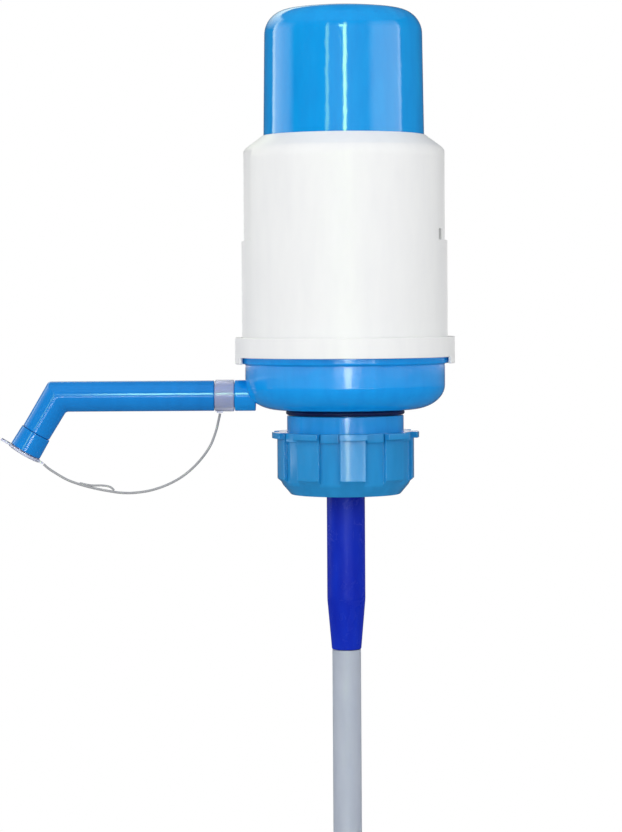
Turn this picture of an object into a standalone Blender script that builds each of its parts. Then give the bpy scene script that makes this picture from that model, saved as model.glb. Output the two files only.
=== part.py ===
"""Hand pump for a refillable water jug with a 55 mm crown neck.

Units are metres and +Z is up. Zero is on the pump's axis, in the plane where the jug's rim
meets the gasket. The spout points along -X, and a viewer in front of the pump looks along +Y.
"""

import math

import bmesh
import bpy
from mathutils import Matrix, Vector

for old in list(bpy.data.objects):
    bpy.data.objects.remove(old, do_unlink=True)

# Gaps and overruns that several pieces share
FIT = 0.0003
OVERRUN = 0.002
SINK = 0.0006
MERGE_DISTANCE = 0.0000001
SHARP_DEGREES = 35
CUTTER_TURN_DEGREES = 2

# Sides of the turned pieces
LARGE_SIDES = 40
SMALL_SIDES = 20
TINY_SIDES = 8

# Jug neck that the collar grips
CROWN_RADIUS = 0.0275
CROWN_CLEARANCE = 0.002
CLAW_BITE = 0.0029
SOCKET_DEPTH = 0.0227

# Collar
COLLAR_WALL = 0.0015
COLLAR_TOP_WALL = 0.0022
CLAW_HEIGHT = 0.0022
CLAW_SLOPE_HEIGHT = 0.005
CLAW_WALL = 0.0017
PANEL_COUNT = 9
PANEL_WIDTH_SHARE = 0.55
PANEL_TURN_DEGREES = 5.6
PANEL_RISE = 0.0019
PANEL_CHAMFER = 0.0016
LIP_RISE = 0.0025
LIP_HEIGHT = 0.0029
LEDGE_RISE = 0.0012
LEDGE_HEIGHT = 0.0042
LEDGE_WIDTH_SHARE = 0.38
SKIRT_HEIGHT = 0.0062
SKIRT_STEP = 0.0008

# Neck, with the gasket under its flange and the seal ring on its shoulder
NECK_OVER_CROWN = 0.0005
NECK_WALL = 0.0055
NECK_FLANGE_THICKNESS = 0.0025
NECK_SHOWN = 0.0079
SPIGOT_STEP = 0.0031
NECK_SPIGOT_RISE = 0.0055
GASKET_THICKNESS = 0.002
GASKET_OVERHANG = 0.001
SEAL_BULGE = 0.0005
SEAL_THICKNESS = 0.0021

# Barrel, which the bowl, the ring and the cap follow
BARREL_RADIUS = 0.0493
BARREL_WALL = 0.003
BARREL_HEIGHT = 0.0997
BARREL_FLANGE_RISE = 0.0016
BARREL_FLANGE_THICKNESS = 0.0015
SHOULDER_WIDTH = 0.0105
SHOULDER_SLOPE_DEGREES = 36.5
SHOULDER_ROUND = 0.004
SHOULDER_WALL = 0.0022
RECESS_HALF_DEGREES = 26
RECESS_DEPTH = 0.0012
RECESS_RISE = 0.0493
WINDOW_DEGREES = 20.3
WINDOW_WIDTH = 0.0058
WINDOW_HEIGHT = 0.0053

# Ring that holds the barrel on the bowl, and the gasket between them
CHAMBER_GASKET_THICKNESS = 0.001
RING_WALL = 0.0015
RING_LIP_THICKNESS = 0.0016
RING_ROUND = 0.0012
RING_TAB_DROP = 0.0032
RING_TAB_HALF_DEGREES = 18

# Bowl
BOWL_WALL = 0.0024
BOWL_HEIGHT = 0.0252
BOWL_CURVE_HEIGHT = 0.0116
BOWL_CURVE_WIDTH = 0.0162
RIM_SETBACK = 0.0008
RIM_STEP = 0.0022
RIM_HEIGHT = 0.0031
RIM_ROUND = 0.001
UPSTAND_WALL = 0.0034
UPSTAND_HEIGHT = 0.0046
PLATE_LEDGE_DROP = 0.0021

# Spout socket on the bowl, and the boss and bent duct that bring it the water
SOCKET_RISE = 0.0069
SOCKET_WALL = 0.0013
SOCKET_REACH = 0.0051
SOCKET_DEPTH_INSIDE = 0.0081
SOCKET_ROOT_GAP = 0.0181
DUCT_OFFSET = 0.0037
DUCT_RADIUS = 0.0046
DUCT_WALL = 0.0014
DUCT_BEND_RADIUS = 0.009
DUCT_BEND_STEPS = 5
DUCT_SETBACK = 0.0077
DUCT_FOOT = -0.006
DUCT_BOSS_WALL = 0.0015
DUCT_BOSS_GAP = 0.0047
PASSAGE_OVERLAP = 0.0012

# Valve plate and what is screwed down on it
PLATE_THICKNESS = 0.0025
SCREW_COUNT = 3
SCREW_SETBACK = 0.0036
SCREW_RADIUS = 0.0014
SCREW_HEAD_RADIUS = 0.0027
SCREW_HEAD_HEIGHT = 0.0018
SCREW_LENGTH = 0.017
SCREW_SLOT_WIDTH = 0.0008
SCREW_BOSS_RADIUS = 0.0042
SCREW_BOSS_DEPTH = 0.02
PORT_COUNT = 6
PORT_RADIUS = 0.0018
PORT_CIRCLE_RADIUS = 0.007
CLAMP_THICKNESS = 0.002
CLAMP_INNER_MARGIN = 0.0044
CLAMP_OUTER_MARGIN = 0.003

# Poppet valves, one under each plate
VALVE_DISC_RADIUS = 0.012
VALVE_DISC_THICKNESS = 0.001
VALVE_STEM_RADIUS = 0.0016
VALVE_HEAD_RADIUS = 0.0026
VALVE_HEAD_HEIGHT = 0.0014
VALVE_LIFT = 0.0012

# Bellows and the spring inside it
BELLOWS_HEAD_DROP = 0.0099
BELLOWS_WALL = 0.0012
BELLOWS_PLEATS = 7
BELLOWS_CLEARANCE = 0.004
PLEAT_DEPTH = 0.0065
BELLOWS_CUFF = 0.0015
BELLOWS_HEAD_MARGIN = 0.001
BELLOWS_HEAD_WIDTH = 0.007
SPRING_WIRE_RADIUS = 0.0009
SPRING_TURNS = 8
SPRING_POINTS_PER_TURN = 10

# Plunger: the press cap and the plate that it carries
CAP_SHOWN = 0.0615
CAP_CLEARANCE = 0.0004
CAP_DRAFT = 0.0007
CAP_DOME_RADIUS = 0.2
CAP_CORNER_RADIUS = 0.0118
CAP_WALL = 0.0022
HOOP_HEIGHT = 0.0135
HOOP_WALL = 0.0018
HOOP_CLEARANCE = 0.0004
HOOP_FLANGE_THICKNESS = 0.0026
TOP_PLATE_THICKNESS = 0.0025
TOP_PLATE_MARGIN = 0.00415
RIB_COUNT = 4
RIB_THICKNESS = 0.002
RIB_REACH = 0.0075

# Spout, its seal, the strap ring at its root and its end sleeve
SPOUT_RADIUS = 0.0073
SPOUT_WALL = 0.0019
SPOUT_RUN = 0.0754
SPIGOT_SETBACK = 0.0015
SPIGOT_WALL = 0.0024
SEAL_GROOVE_SETBACK = 0.0022
SEAL_GROOVE_WIDTH = 0.002
SEAL_GROOVE_DEPTH = 0.0012
SEAL_PROUD = 0.00005
STRAP_RING_LENGTH = 0.0093
STRAP_RING_WALL = 0.0015
STRAP_LUG_SHARE = 0.25
STRAP_LUG_WIDTH = 0.0024
STRAP_LUG_LENGTH = 0.003
STRAP_LUG_DROP = 0.0007
ARM_TILT_DEGREES = 31
ARM_TAPER = 0.0002
ARM_STEP = 0.0009
TIP_START = 0.0202
TIP_LENGTH = 0.01
TIP_WALL = 0.001
TIP_FLARE = 0.0003
TIP_LIP_THICKNESS = 0.0015

# Spout cap
CAP_DISC_OVERHANG = 0.0006
CAP_DISC_THICKNESS = 0.0015
PLUG_LENGTH = 0.0049
PLUG_WALL = 0.0012
FINGER_TAB_LENGTH = 0.0046
FINGER_TAB_WIDTH = 0.005
FINGER_TAB_THICKNESS = 0.0009
CAP_LUG_LENGTH = 0.002
CAP_LUG_WIDTH = 0.0024

# Leash: the route of its middle, as places along X and Z in the plane of the spout
LEASH_DIAMETER = 0.0012
LEASH_STEP = 0.0028
LEASH_FINE_STEPS = 16
LEASH_ROUTE = (
    (-0.1452, -0.0077),
    (-0.1427, -0.0099),
    (-0.1384, -0.0127),
    (-0.1334, -0.0155),
    (-0.127, -0.0178),
    (-0.1206, -0.0195),
    (-0.1141, -0.0208),
    (-0.1078, -0.0217),
    (-0.1014, -0.0217),
    (-0.0934, -0.0205),
    (-0.0853, -0.0177),
    (-0.0777, -0.0134),
    (-0.0709, -0.0073),
    (-0.0654, 0),
    (-0.0624, 0.0072),
    (-0.0611, 0.0122),
    (-0.0602, 0.0162),
)

# Riser sleeve and the three dip tubes with their couplers
RISER_TOP = 0.012
RISER_RADIUS = 0.0092
RISER_WALL = 0.0026
RISER_STRAIGHT_END = -0.0736
RISER_TAPER_LENGTH = 0.024
RISER_END_STEP = 0.0002
RISER_SPIGOT_WALL = 0.0015
RISER_SPIGOT_LENGTH = 0.0134
TUBE_NAMES = ("dip_tube_upper", "dip_tube_middle", "dip_tube_lower")
COUPLER_NAMES = ("tube_coupler_upper", "tube_coupler_lower")
TUBE_RADIUS = 0.0069
TUBE_WALL = 0.0015
TUBE_LENGTH = 0.124
COUPLER_WALL = 0.0012
COUPLER_LENGTH = 0.026
COUPLER_STOP_THICKNESS = 0.0015
FOOT_NOTCH_WIDTH = 0.005
FOOT_NOTCH_HEIGHT = 0.006

# Radii round the jug's crown
CLAW_RADIUS = CROWN_RADIUS - CLAW_BITE
COLLAR_BORE_RADIUS = CROWN_RADIUS + CROWN_CLEARANCE
COLLAR_RADIUS = COLLAR_BORE_RADIUS + COLLAR_WALL
NECK_RADIUS = CROWN_RADIUS + NECK_OVER_CROWN
NECK_BORE_RADIUS = NECK_RADIUS - NECK_WALL
NECK_SPIGOT_RADIUS = NECK_RADIUS - SPIGOT_STEP

# Radii round the barrel
BARREL_BORE_RADIUS = BARREL_RADIUS - BARREL_WALL
BARREL_FLANGE_RADIUS = BARREL_RADIUS + BARREL_FLANGE_RISE
RING_RADIUS = BARREL_FLANGE_RADIUS + FIT + RING_WALL
UPSTAND_RADIUS = BARREL_FLANGE_RADIUS
UPSTAND_BORE_RADIUS = UPSTAND_RADIUS - UPSTAND_WALL
RIM_RADIUS = UPSTAND_RADIUS - RIM_SETBACK
BOWL_RADIUS = RIM_RADIUS - RIM_STEP
BOWL_FLOOR_RADIUS = BOWL_RADIUS - BOWL_CURVE_WIDTH
PLATE_RADIUS = UPSTAND_BORE_RADIUS - FIT
SCREW_CIRCLE_RADIUS = BOWL_RADIUS - BOWL_WALL - SCREW_SETBACK
CLAMP_RADIUS = SCREW_CIRCLE_RADIUS + CLAMP_OUTER_MARGIN
CLAMP_INNER_RADIUS = SCREW_CIRCLE_RADIUS - CLAMP_INNER_MARGIN
MOUTH_RADIUS = BARREL_RADIUS - SHOULDER_WIDTH
SHOULDER_RISE = math.tan(math.radians(SHOULDER_SLOPE_DEGREES))
CAP_MOUTH_RADIUS = MOUTH_RADIUS - CAP_CLEARANCE
CAP_TOP_RADIUS = CAP_MOUTH_RADIUS - CAP_DRAFT
TOP_PLATE_RADIUS = CAP_TOP_RADIUS - CAP_WALL - TOP_PLATE_MARGIN
RIB_INNER_RADIUS = TOP_PLATE_RADIUS - RIB_REACH
BELLOWS_FOOT_RADIUS = CLAMP_RADIUS - FIT
BELLOWS_OUTER_RADIUS = CLAMP_INNER_RADIUS - BELLOWS_CLEARANCE
BELLOWS_INNER_RADIUS = BELLOWS_OUTER_RADIUS - PLEAT_DEPTH
BELLOWS_HEAD_RADIUS = TOP_PLATE_RADIUS - BELLOWS_HEAD_MARGIN
BELLOWS_HEAD_INNER_RADIUS = BELLOWS_HEAD_RADIUS - BELLOWS_HEAD_WIDTH
SPRING_RADIUS = (VALVE_DISC_RADIUS + BELLOWS_INNER_RADIUS - BELLOWS_WALL) / 2

# Heights of the stack, from the jug's rim up
FLANGE_BOTTOM = GASKET_THICKNESS + FIT
FLANGE_TOP = FLANGE_BOTTOM + NECK_FLANGE_THICKNESS
COLLAR_CEILING = FLANGE_TOP + FIT
COLLAR_TOP = COLLAR_CEILING + COLLAR_TOP_WALL
NECK_SHOULDER = COLLAR_TOP + NECK_SHOWN
SEAL_BOTTOM = NECK_SHOULDER + FIT
SEAL_TOP = SEAL_BOTTOM + SEAL_THICKNESS
BOWL_BOTTOM = SEAL_TOP + FIT
RIM_TOP = BOWL_BOTTOM + BOWL_HEIGHT
PLATE_LEDGE = RIM_TOP - PLATE_LEDGE_DROP
UPSTAND_TOP = RIM_TOP + UPSTAND_HEIGHT
PLATE_BOTTOM = PLATE_LEDGE + FIT
PLATE_TOP = PLATE_BOTTOM + PLATE_THICKNESS
BELLOWS_BOTTOM = PLATE_TOP + FIT
CLAMP_BOTTOM = BELLOWS_BOTTOM + BELLOWS_CUFF + FIT
CLAMP_TOP = CLAMP_BOTTOM + CLAMP_THICKNESS
SCREW_HEAD_BOTTOM = CLAMP_TOP + FIT
CHAMBER_GASKET_BOTTOM = UPSTAND_TOP + FIT
CHAMBER_GASKET_TOP = CHAMBER_GASKET_BOTTOM + CHAMBER_GASKET_THICKNESS
BARREL_BOTTOM = CHAMBER_GASKET_TOP + FIT
BARREL_FLANGE_TOP = BARREL_BOTTOM + BARREL_FLANGE_THICKNESS
RING_LIP_BOTTOM = BARREL_FLANGE_TOP + FIT
RING_TOP = RING_LIP_BOTTOM + RING_LIP_THICKNESS
MOUTH_TOP = BARREL_BOTTOM + BARREL_HEIGHT
RECESS_BOTTOM = BARREL_BOTTOM + RECESS_RISE
BELLOWS_TOP = MOUTH_TOP - BELLOWS_HEAD_DROP
TOP_PLATE_BOTTOM = BELLOWS_TOP + FIT
TOP_PLATE_TOP = TOP_PLATE_BOTTOM + TOP_PLATE_THICKNESS
CAP_APEX = MOUTH_TOP + CAP_SHOWN

# Depths of the collar below the jug's rim
PANEL_BOTTOM_DROP = SOCKET_DEPTH - SKIRT_HEIGHT
CLAW_TOP_DROP = SOCKET_DEPTH - CLAW_HEIGHT
BORE_STRAIGHT_DROP = CLAW_TOP_DROP - CLAW_SLOPE_HEIGHT

# Spout and duct: heights, radii and distances from the pump's axis
SPOUT_HEIGHT = BOWL_BOTTOM + SOCKET_RISE
DUCT_HEIGHT = SPOUT_HEIGHT + DUCT_OFFSET
DUCT_BORE_RADIUS = DUCT_RADIUS - DUCT_WALL
DUCT_BOSS_RADIUS = DUCT_RADIUS + FIT + DUCT_BOSS_WALL
SPOUT_BORE_RADIUS = SPOUT_RADIUS - SPOUT_WALL
SPIGOT_RADIUS = SPOUT_RADIUS - SPIGOT_SETBACK
SPIGOT_BORE_RADIUS = SPIGOT_RADIUS - SPIGOT_WALL
SEAL_GROOVE_RADIUS = SPIGOT_RADIUS - SEAL_GROOVE_DEPTH
SOCKET_RADIUS = SPIGOT_RADIUS + FIT + SOCKET_WALL
STRAP_RING_INNER_RADIUS = SPIGOT_RADIUS + FIT
STRAP_RING_RADIUS = STRAP_RING_INNER_RADIUS + STRAP_RING_WALL
ARM_RADIUS = SPOUT_RADIUS - ARM_TAPER
ARM_STEP_RADIUS = ARM_RADIUS - ARM_STEP
TIP_START_RADIUS = ARM_STEP_RADIUS + FIT + TIP_WALL
TIP_END_RADIUS = TIP_START_RADIUS + TIP_FLARE
PLUG_RADIUS = SPOUT_BORE_RADIUS - FIT
CAP_DISC_RADIUS = TIP_END_RADIUS + CAP_DISC_OVERHANG
SOCKET_END = BOWL_RADIUS + SOCKET_REACH
SOCKET_BORE_END = SOCKET_END - SOCKET_DEPTH_INSIDE
SOCKET_ROOT = NECK_SPIGOT_RADIUS + SOCKET_ROOT_GAP
DUCT_BOSS_INNER_END = NECK_SPIGOT_RADIUS + DUCT_BOSS_GAP
DUCT_END = BOWL_RADIUS - DUCT_SETBACK
SPIGOT_END = SOCKET_BORE_END + FIT
STRAP_RING_START = SOCKET_END + FIT
STRAP_RING_END = STRAP_RING_START + STRAP_RING_LENGTH
SPOUT_SHOULDER = STRAP_RING_END + FIT
ELBOW_X = SPOUT_SHOULDER + SPOUT_RUN
ARM_TILT = math.radians(ARM_TILT_DEGREES)
ARM_DIRECTION = Vector((-math.sin(ARM_TILT), 0, -math.cos(ARM_TILT)))
TIP_END = TIP_START + TIP_LENGTH
TIP_LIP_START = TIP_END - TIP_LIP_THICKNESS

# Riser and dip tubes
RISER_BORE_RADIUS = RISER_RADIUS - RISER_WALL
RISER_END = RISER_STRAIGHT_END - RISER_TAPER_LENGTH
RISER_END_RADIUS = TUBE_RADIUS + RISER_END_STEP
TUBE_BORE_RADIUS = TUBE_RADIUS - TUBE_WALL
RISER_SPIGOT_RADIUS = TUBE_BORE_RADIUS - FIT
RISER_SPIGOT_BORE_RADIUS = RISER_SPIGOT_RADIUS - RISER_SPIGOT_WALL
COUPLER_RADIUS = TUBE_RADIUS + FIT + COUPLER_WALL
COUPLER_STOP_RADIUS = TUBE_BORE_RADIUS + FIT
TUBE_SPACING = TUBE_LENGTH + COUPLER_STOP_THICKNESS + 2 * FIT


def plastic(name, colour, roughness, alpha=1.0, metallic=0.0):
    """A Principled material with one colour."""
    finish = bpy.data.materials.new(name)
    finish.use_nodes = True
    shader = finish.node_tree.nodes["Principled BSDF"]
    shader.inputs["Base Color"].default_value = (*colour, 1.0)
    shader.inputs["Roughness"].default_value = roughness
    shader.inputs["Metallic"].default_value = metallic
    shader.inputs["Alpha"].default_value = alpha
    finish.diffuse_color = (*colour, alpha)
    return finish


BLUE = plastic("blue_abs", (0.02, 0.27, 0.78), 0.18)
TEAL = plastic("teal_polypropylene", (0.03, 0.26, 0.58), 0.3)
WHITE = plastic("white_abs", (0.9, 0.9, 0.9), 0.3)
DEEP_BLUE = plastic("deep_blue_polypropylene", (0.01, 0.04, 0.42), 0.3)
NAVY_RUBBER = plastic("navy_rubber", (0.004, 0.012, 0.08), 0.6)
GREY_RUBBER = plastic("grey_rubber", (0.3, 0.3, 0.31), 0.6)
CLEAR = plastic("clear_pvc", (0.8, 0.87, 0.95), 0.12, alpha=0.4)
MILKY = plastic("milky_polyethylene", (0.6, 0.68, 0.78), 0.25, alpha=0.6)
STEEL = plastic("spring_steel", (0.6, 0.6, 0.6), 0.3, metallic=1.0)


def pivot(name, place):
    """An empty on a joint's axis, which carries the pieces that move about it."""
    empty = bpy.data.objects.new(name, None)
    empty.location = place
    bpy.context.scene.collection.objects.link(empty)
    return empty


def as_object(name, mesh_maker, finish, parent=None):
    """Turns a bmesh into a smooth-shaded object; the parent's place is its origin."""
    bmesh.ops.remove_doubles(mesh_maker, verts=mesh_maker.verts, dist=MERGE_DISTANCE)
    bmesh.ops.recalc_face_normals(mesh_maker, faces=mesh_maker.faces)
    mesh = bpy.data.meshes.new(name)
    mesh_maker.to_mesh(mesh)
    mesh_maker.free()
    mesh.shade_smooth()
    mesh.set_sharp_from_angle(angle=math.radians(SHARP_DEGREES))
    mesh.materials.append(finish)
    made = bpy.data.objects.new(name, mesh)
    bpy.context.scene.collection.objects.link(made)
    if parent:
        made.parent = parent
    return made


def helper(made):
    """Marks a cutter or an added shape that isn't a piece by itself."""
    made.hide_render = True
    made.display_type = "WIRE"
    return made


def combine(piece, operation, other):
    step = piece.modifiers.new(operation.lower(), "BOOLEAN")
    step.operation = operation
    step.solver = "EXACT"
    step.object = other


def rounded(corners, steps=3):
    """The outline through (radius, height, fillet) corners, with an arc where there is a fillet."""
    outline = []
    for index, (x, y, fillet) in enumerate(corners):
        here = Vector((x, y))
        if not fillet:
            outline.append(here)
            continue
        before = Vector(corners[index - 1][:2])
        after = Vector(corners[(index + 1) % len(corners)][:2])
        inward, outward = (before - here).normalized(), (after - here).normalized()
        half = inward.angle(outward) / 2
        reach = min(fillet / math.tan(half), (before - here).length / 2, (after - here).length / 2)
        radius = reach * math.tan(half)
        centre = here + (inward + outward).normalized() * (radius / math.sin(half))
        start, end = here + inward * reach - centre, here + outward * reach - centre
        turn = start.angle_signed(end)
        outline += [centre + Matrix.Rotation(-turn * i / steps, 2) @ start for i in range(steps + 1)]
    return outline


def arc(centre, radius, start_degrees, end_degrees, steps):
    """Points of an arc in the plane of radius and height."""
    angles = [
        math.radians(start_degrees + (end_degrees - start_degrees) * i / steps) for i in range(steps + 1)
    ]
    return [Vector((centre[0] + radius * math.cos(a), centre[1] + radius * math.sin(a))) for a in angles]


def spun(outline, sides, turn_degrees=360, start_degrees=0, closed=True):
    """A bmesh of an outline of (radius, height) points spun about Z."""
    made = bmesh.new()
    points = [made.verts.new((p[0], 0, p[1])) for p in outline]
    pairs = list(zip(points, points[1:]))
    if closed:
        pairs.append((points[-1], points[0]))
    edges = [made.edges.new(pair) for pair in pairs]
    whole = turn_degrees == 360
    bmesh.ops.spin(
        made,
        geom=points + edges,
        cent=(0, 0, 0),
        axis=(0, 0, 1),
        angle=math.radians(turn_degrees),
        steps=sides,
        use_merge=whole,
    )
    bmesh.ops.remove_doubles(made, verts=made.verts, dist=MERGE_DISTANCE)
    if not whole:
        bmesh.ops.holes_fill(made, edges=made.edges, sides=0)
    bmesh.ops.rotate(
        made,
        cent=(0, 0, 0),
        matrix=Matrix.Rotation(math.radians(start_degrees), 3, "Z"),
        verts=made.verts,
    )
    return made


def turned(name, outline, finish, sides=LARGE_SIDES, parent=None, closed=True):
    """A turned piece: an outline of (radius, height) points spun about the pump's axis."""
    return as_object(name, spun(outline, sides, closed=closed), finish, parent)


def rod(radius, low, high, sides=SMALL_SIDES, place=None):
    """A bmesh of a solid cylinder along Z, moved by a matrix."""
    made = spun([(0, low), (radius, low), (radius, high), (0, high)], sides, closed=False)
    if place:
        bmesh.ops.transform(made, matrix=place, verts=made.verts)
    return made


def block(low, high, place=None):
    """A bmesh of a box between two corners, moved by a matrix."""
    made = bmesh.new()
    bmesh.ops.create_cube(made, size=1.0)
    low, high = Vector(low), Vector(high)
    span = high - low
    bmesh.ops.scale(made, vec=span, verts=made.verts)
    bmesh.ops.translate(made, vec=(low + high) / 2, verts=made.verts)
    if place:
        bmesh.ops.transform(made, matrix=place, verts=made.verts)
    return made


def joined(pieces):
    """One bmesh that holds several separate shapes."""
    whole = bmesh.new()
    for piece in pieces:
        scratch = bpy.data.meshes.new("scratch")
        piece.to_mesh(scratch)
        piece.free()
        whole.from_mesh(scratch)
        bpy.data.meshes.remove(scratch)
    return whole


def lofted(name, rings, finish, parent=None):
    """A tube-shaped piece through rings of points; the last ring joins the first, so its bore is open."""
    made = bmesh.new()
    rows = [[made.verts.new(point) for point in ring] for ring in rings]
    for row, after in zip(rows, rows[1:] + rows[:1]):
        for i in range(len(row)):
            j = (i + 1) % len(row)
            made.faces.new((row[i], row[j], after[j], after[i]))
    return as_object(name, made, finish, parent)


def ring(centre, along, radius, sides=SMALL_SIDES, mitre=None):
    """Points of a circle about a tube's middle, pushed onto the mitre plane where there is one."""
    across = Vector((0, 1, 0))
    up = along.cross(across).normalized()
    points = []
    for i in range(sides):
        angle = 2 * math.pi * i / sides
        offset = (across * math.cos(angle) + up * math.sin(angle)) * radius
        if mitre:
            offset -= along * (offset.dot(mitre) / along.dot(mitre))
        points.append(centre + offset)
    return points


def about_z(degrees):
    return Matrix.Rotation(math.radians(degrees), 4, "Z")


# Pivots, one on the axis of each joint
PRESS_AXIS = pivot("press_axis", (0, 0, 0))
INTAKE_AXIS = pivot("intake_valve_axis", (0, 0, 0))
INTAKE_AXIS.parent = PRESS_AXIS
DELIVERY_AXIS = pivot("delivery_valve_axis", (0, 0, 0))
COLLAR_AXIS = pivot("collar_axis", (0, 0, 0))
SPOUT_AXIS = pivot("spout_axis", (0, 0, SPOUT_HEIGHT))
ELBOW = Vector((-ELBOW_X, 0, 0))
CAP_AXIS = pivot("spout_cap_axis", ELBOW)
CAP_AXIS.parent = SPOUT_AXIS
CAP_AXIS.rotation_euler = (0, math.pi + ARM_TILT, 0)


def make_collar():
    """Swivel nut: nine raised panels with lips, ledges between them and claws below."""
    outline = [
        (COLLAR_RADIUS, COLLAR_TOP),
        (NECK_RADIUS + FIT, COLLAR_TOP),
        (NECK_RADIUS + FIT, COLLAR_CEILING),
        (COLLAR_BORE_RADIUS, COLLAR_CEILING),
        (COLLAR_BORE_RADIUS, -BORE_STRAIGHT_DROP),
        (CLAW_RADIUS, -CLAW_TOP_DROP),
        (CLAW_RADIUS, -SOCKET_DEPTH),
        (CLAW_RADIUS + CLAW_WALL, -SOCKET_DEPTH),
        (COLLAR_RADIUS - SKIRT_STEP, -PANEL_BOTTOM_DROP - PANEL_CHAMFER),
        (COLLAR_RADIUS, -PANEL_BOTTOM_DROP),
    ]
    collar = turned("collar", outline, TEAL, parent=COLLAR_AXIS)
    inside = COLLAR_RADIUS - SINK
    panel_radius = COLLAR_RADIUS + PANEL_RISE
    lip_radius = panel_radius + LIP_RISE
    ledge_radius = COLLAR_RADIUS + LEDGE_RISE
    panel = [
        (inside, COLLAR_TOP),
        (inside, -PANEL_BOTTOM_DROP - PANEL_CHAMFER / 2),
        (COLLAR_RADIUS, -PANEL_BOTTOM_DROP - PANEL_CHAMFER / 2),
        (panel_radius, -PANEL_BOTTOM_DROP + PANEL_CHAMFER),
        (panel_radius, COLLAR_TOP - LIP_HEIGHT),
        (lip_radius, COLLAR_TOP - LIP_HEIGHT),
        (lip_radius, COLLAR_TOP),
    ]
    ledge = [
        (inside, COLLAR_TOP),
        (inside, COLLAR_TOP - LEDGE_HEIGHT),
        (ledge_radius, COLLAR_TOP - LEDGE_HEIGHT),
        (ledge_radius, COLLAR_TOP),
    ]
    pitch = 360 / PANEL_COUNT
    wide, narrow = pitch * PANEL_WIDTH_SHARE, pitch * LEDGE_WIDTH_SHARE
    shapes = []
    for i in range(PANEL_COUNT):
        middle = -90 + PANEL_TURN_DEGREES + pitch * i
        shapes.append(spun(panel, 3, wide, middle - wide / 2))
        shapes.append(spun(ledge, 2, narrow, middle + pitch / 2 - narrow / 2))
    grips = helper(as_object("collar_grips", joined(shapes), TEAL, COLLAR_AXIS))
    combine(collar, "UNION", grips)


def make_neck():
    """Neck tube with the flange that the collar holds, and the spigot that enters the bowl."""
    flange_radius = COLLAR_BORE_RADIUS - FIT
    gasket_inner = NECK_BORE_RADIUS - GASKET_OVERHANG
    turned(
        "neck",
        [
            (NECK_BORE_RADIUS, FLANGE_BOTTOM),
            (flange_radius, FLANGE_BOTTOM),
            (flange_radius, FLANGE_TOP),
            (NECK_RADIUS, FLANGE_TOP),
            (NECK_RADIUS, NECK_SHOULDER),
            (NECK_SPIGOT_RADIUS, NECK_SHOULDER),
            (NECK_SPIGOT_RADIUS, BOWL_BOTTOM + NECK_SPIGOT_RISE),
            (NECK_BORE_RADIUS, BOWL_BOTTOM + NECK_SPIGOT_RISE),
        ],
        BLUE,
    )
    turned(
        "bottle_gasket",
        [
            (gasket_inner, 0),
            (flange_radius, 0),
            (flange_radius, GASKET_THICKNESS),
            (gasket_inner, GASKET_THICKNESS),
        ],
        GREY_RUBBER,
    )
    inner = NECK_SPIGOT_RADIUS + FIT
    bulge = NECK_RADIUS + SEAL_BULGE
    edge = NECK_RADIUS
    middle = (SEAL_BOTTOM + SEAL_TOP) / 2
    turned(
        "neck_seal",
        [(inner, SEAL_BOTTOM), (edge, SEAL_BOTTOM), (bulge, middle), (edge, SEAL_TOP), (inner, SEAL_TOP)],
        NAVY_RUBBER,
    )


def bowl_curve(inset, steps):
    """The bowl's floor, level round the neck hole and curved up to the side, moved inwards by the inset."""
    across = BOWL_RADIUS - BOWL_FLOOR_RADIUS - inset
    tall = BOWL_CURVE_HEIGHT - inset
    level = BOWL_BOTTOM + inset
    angles = [math.pi / 2 * i / steps for i in range(steps + 1)]
    curve = [(BOWL_FLOOR_RADIUS + across * math.sin(a), level + tall * (1 - math.cos(a))) for a in angles]
    return [(NECK_SPIGOT_RADIUS + FIT, level)] + curve


def screw_places():
    turn = 360 / SCREW_COUNT
    return [about_z(turn * i) @ Matrix.Translation((SCREW_CIRCLE_RADIUS, 0, 0)) for i in range(SCREW_COUNT)]


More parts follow.
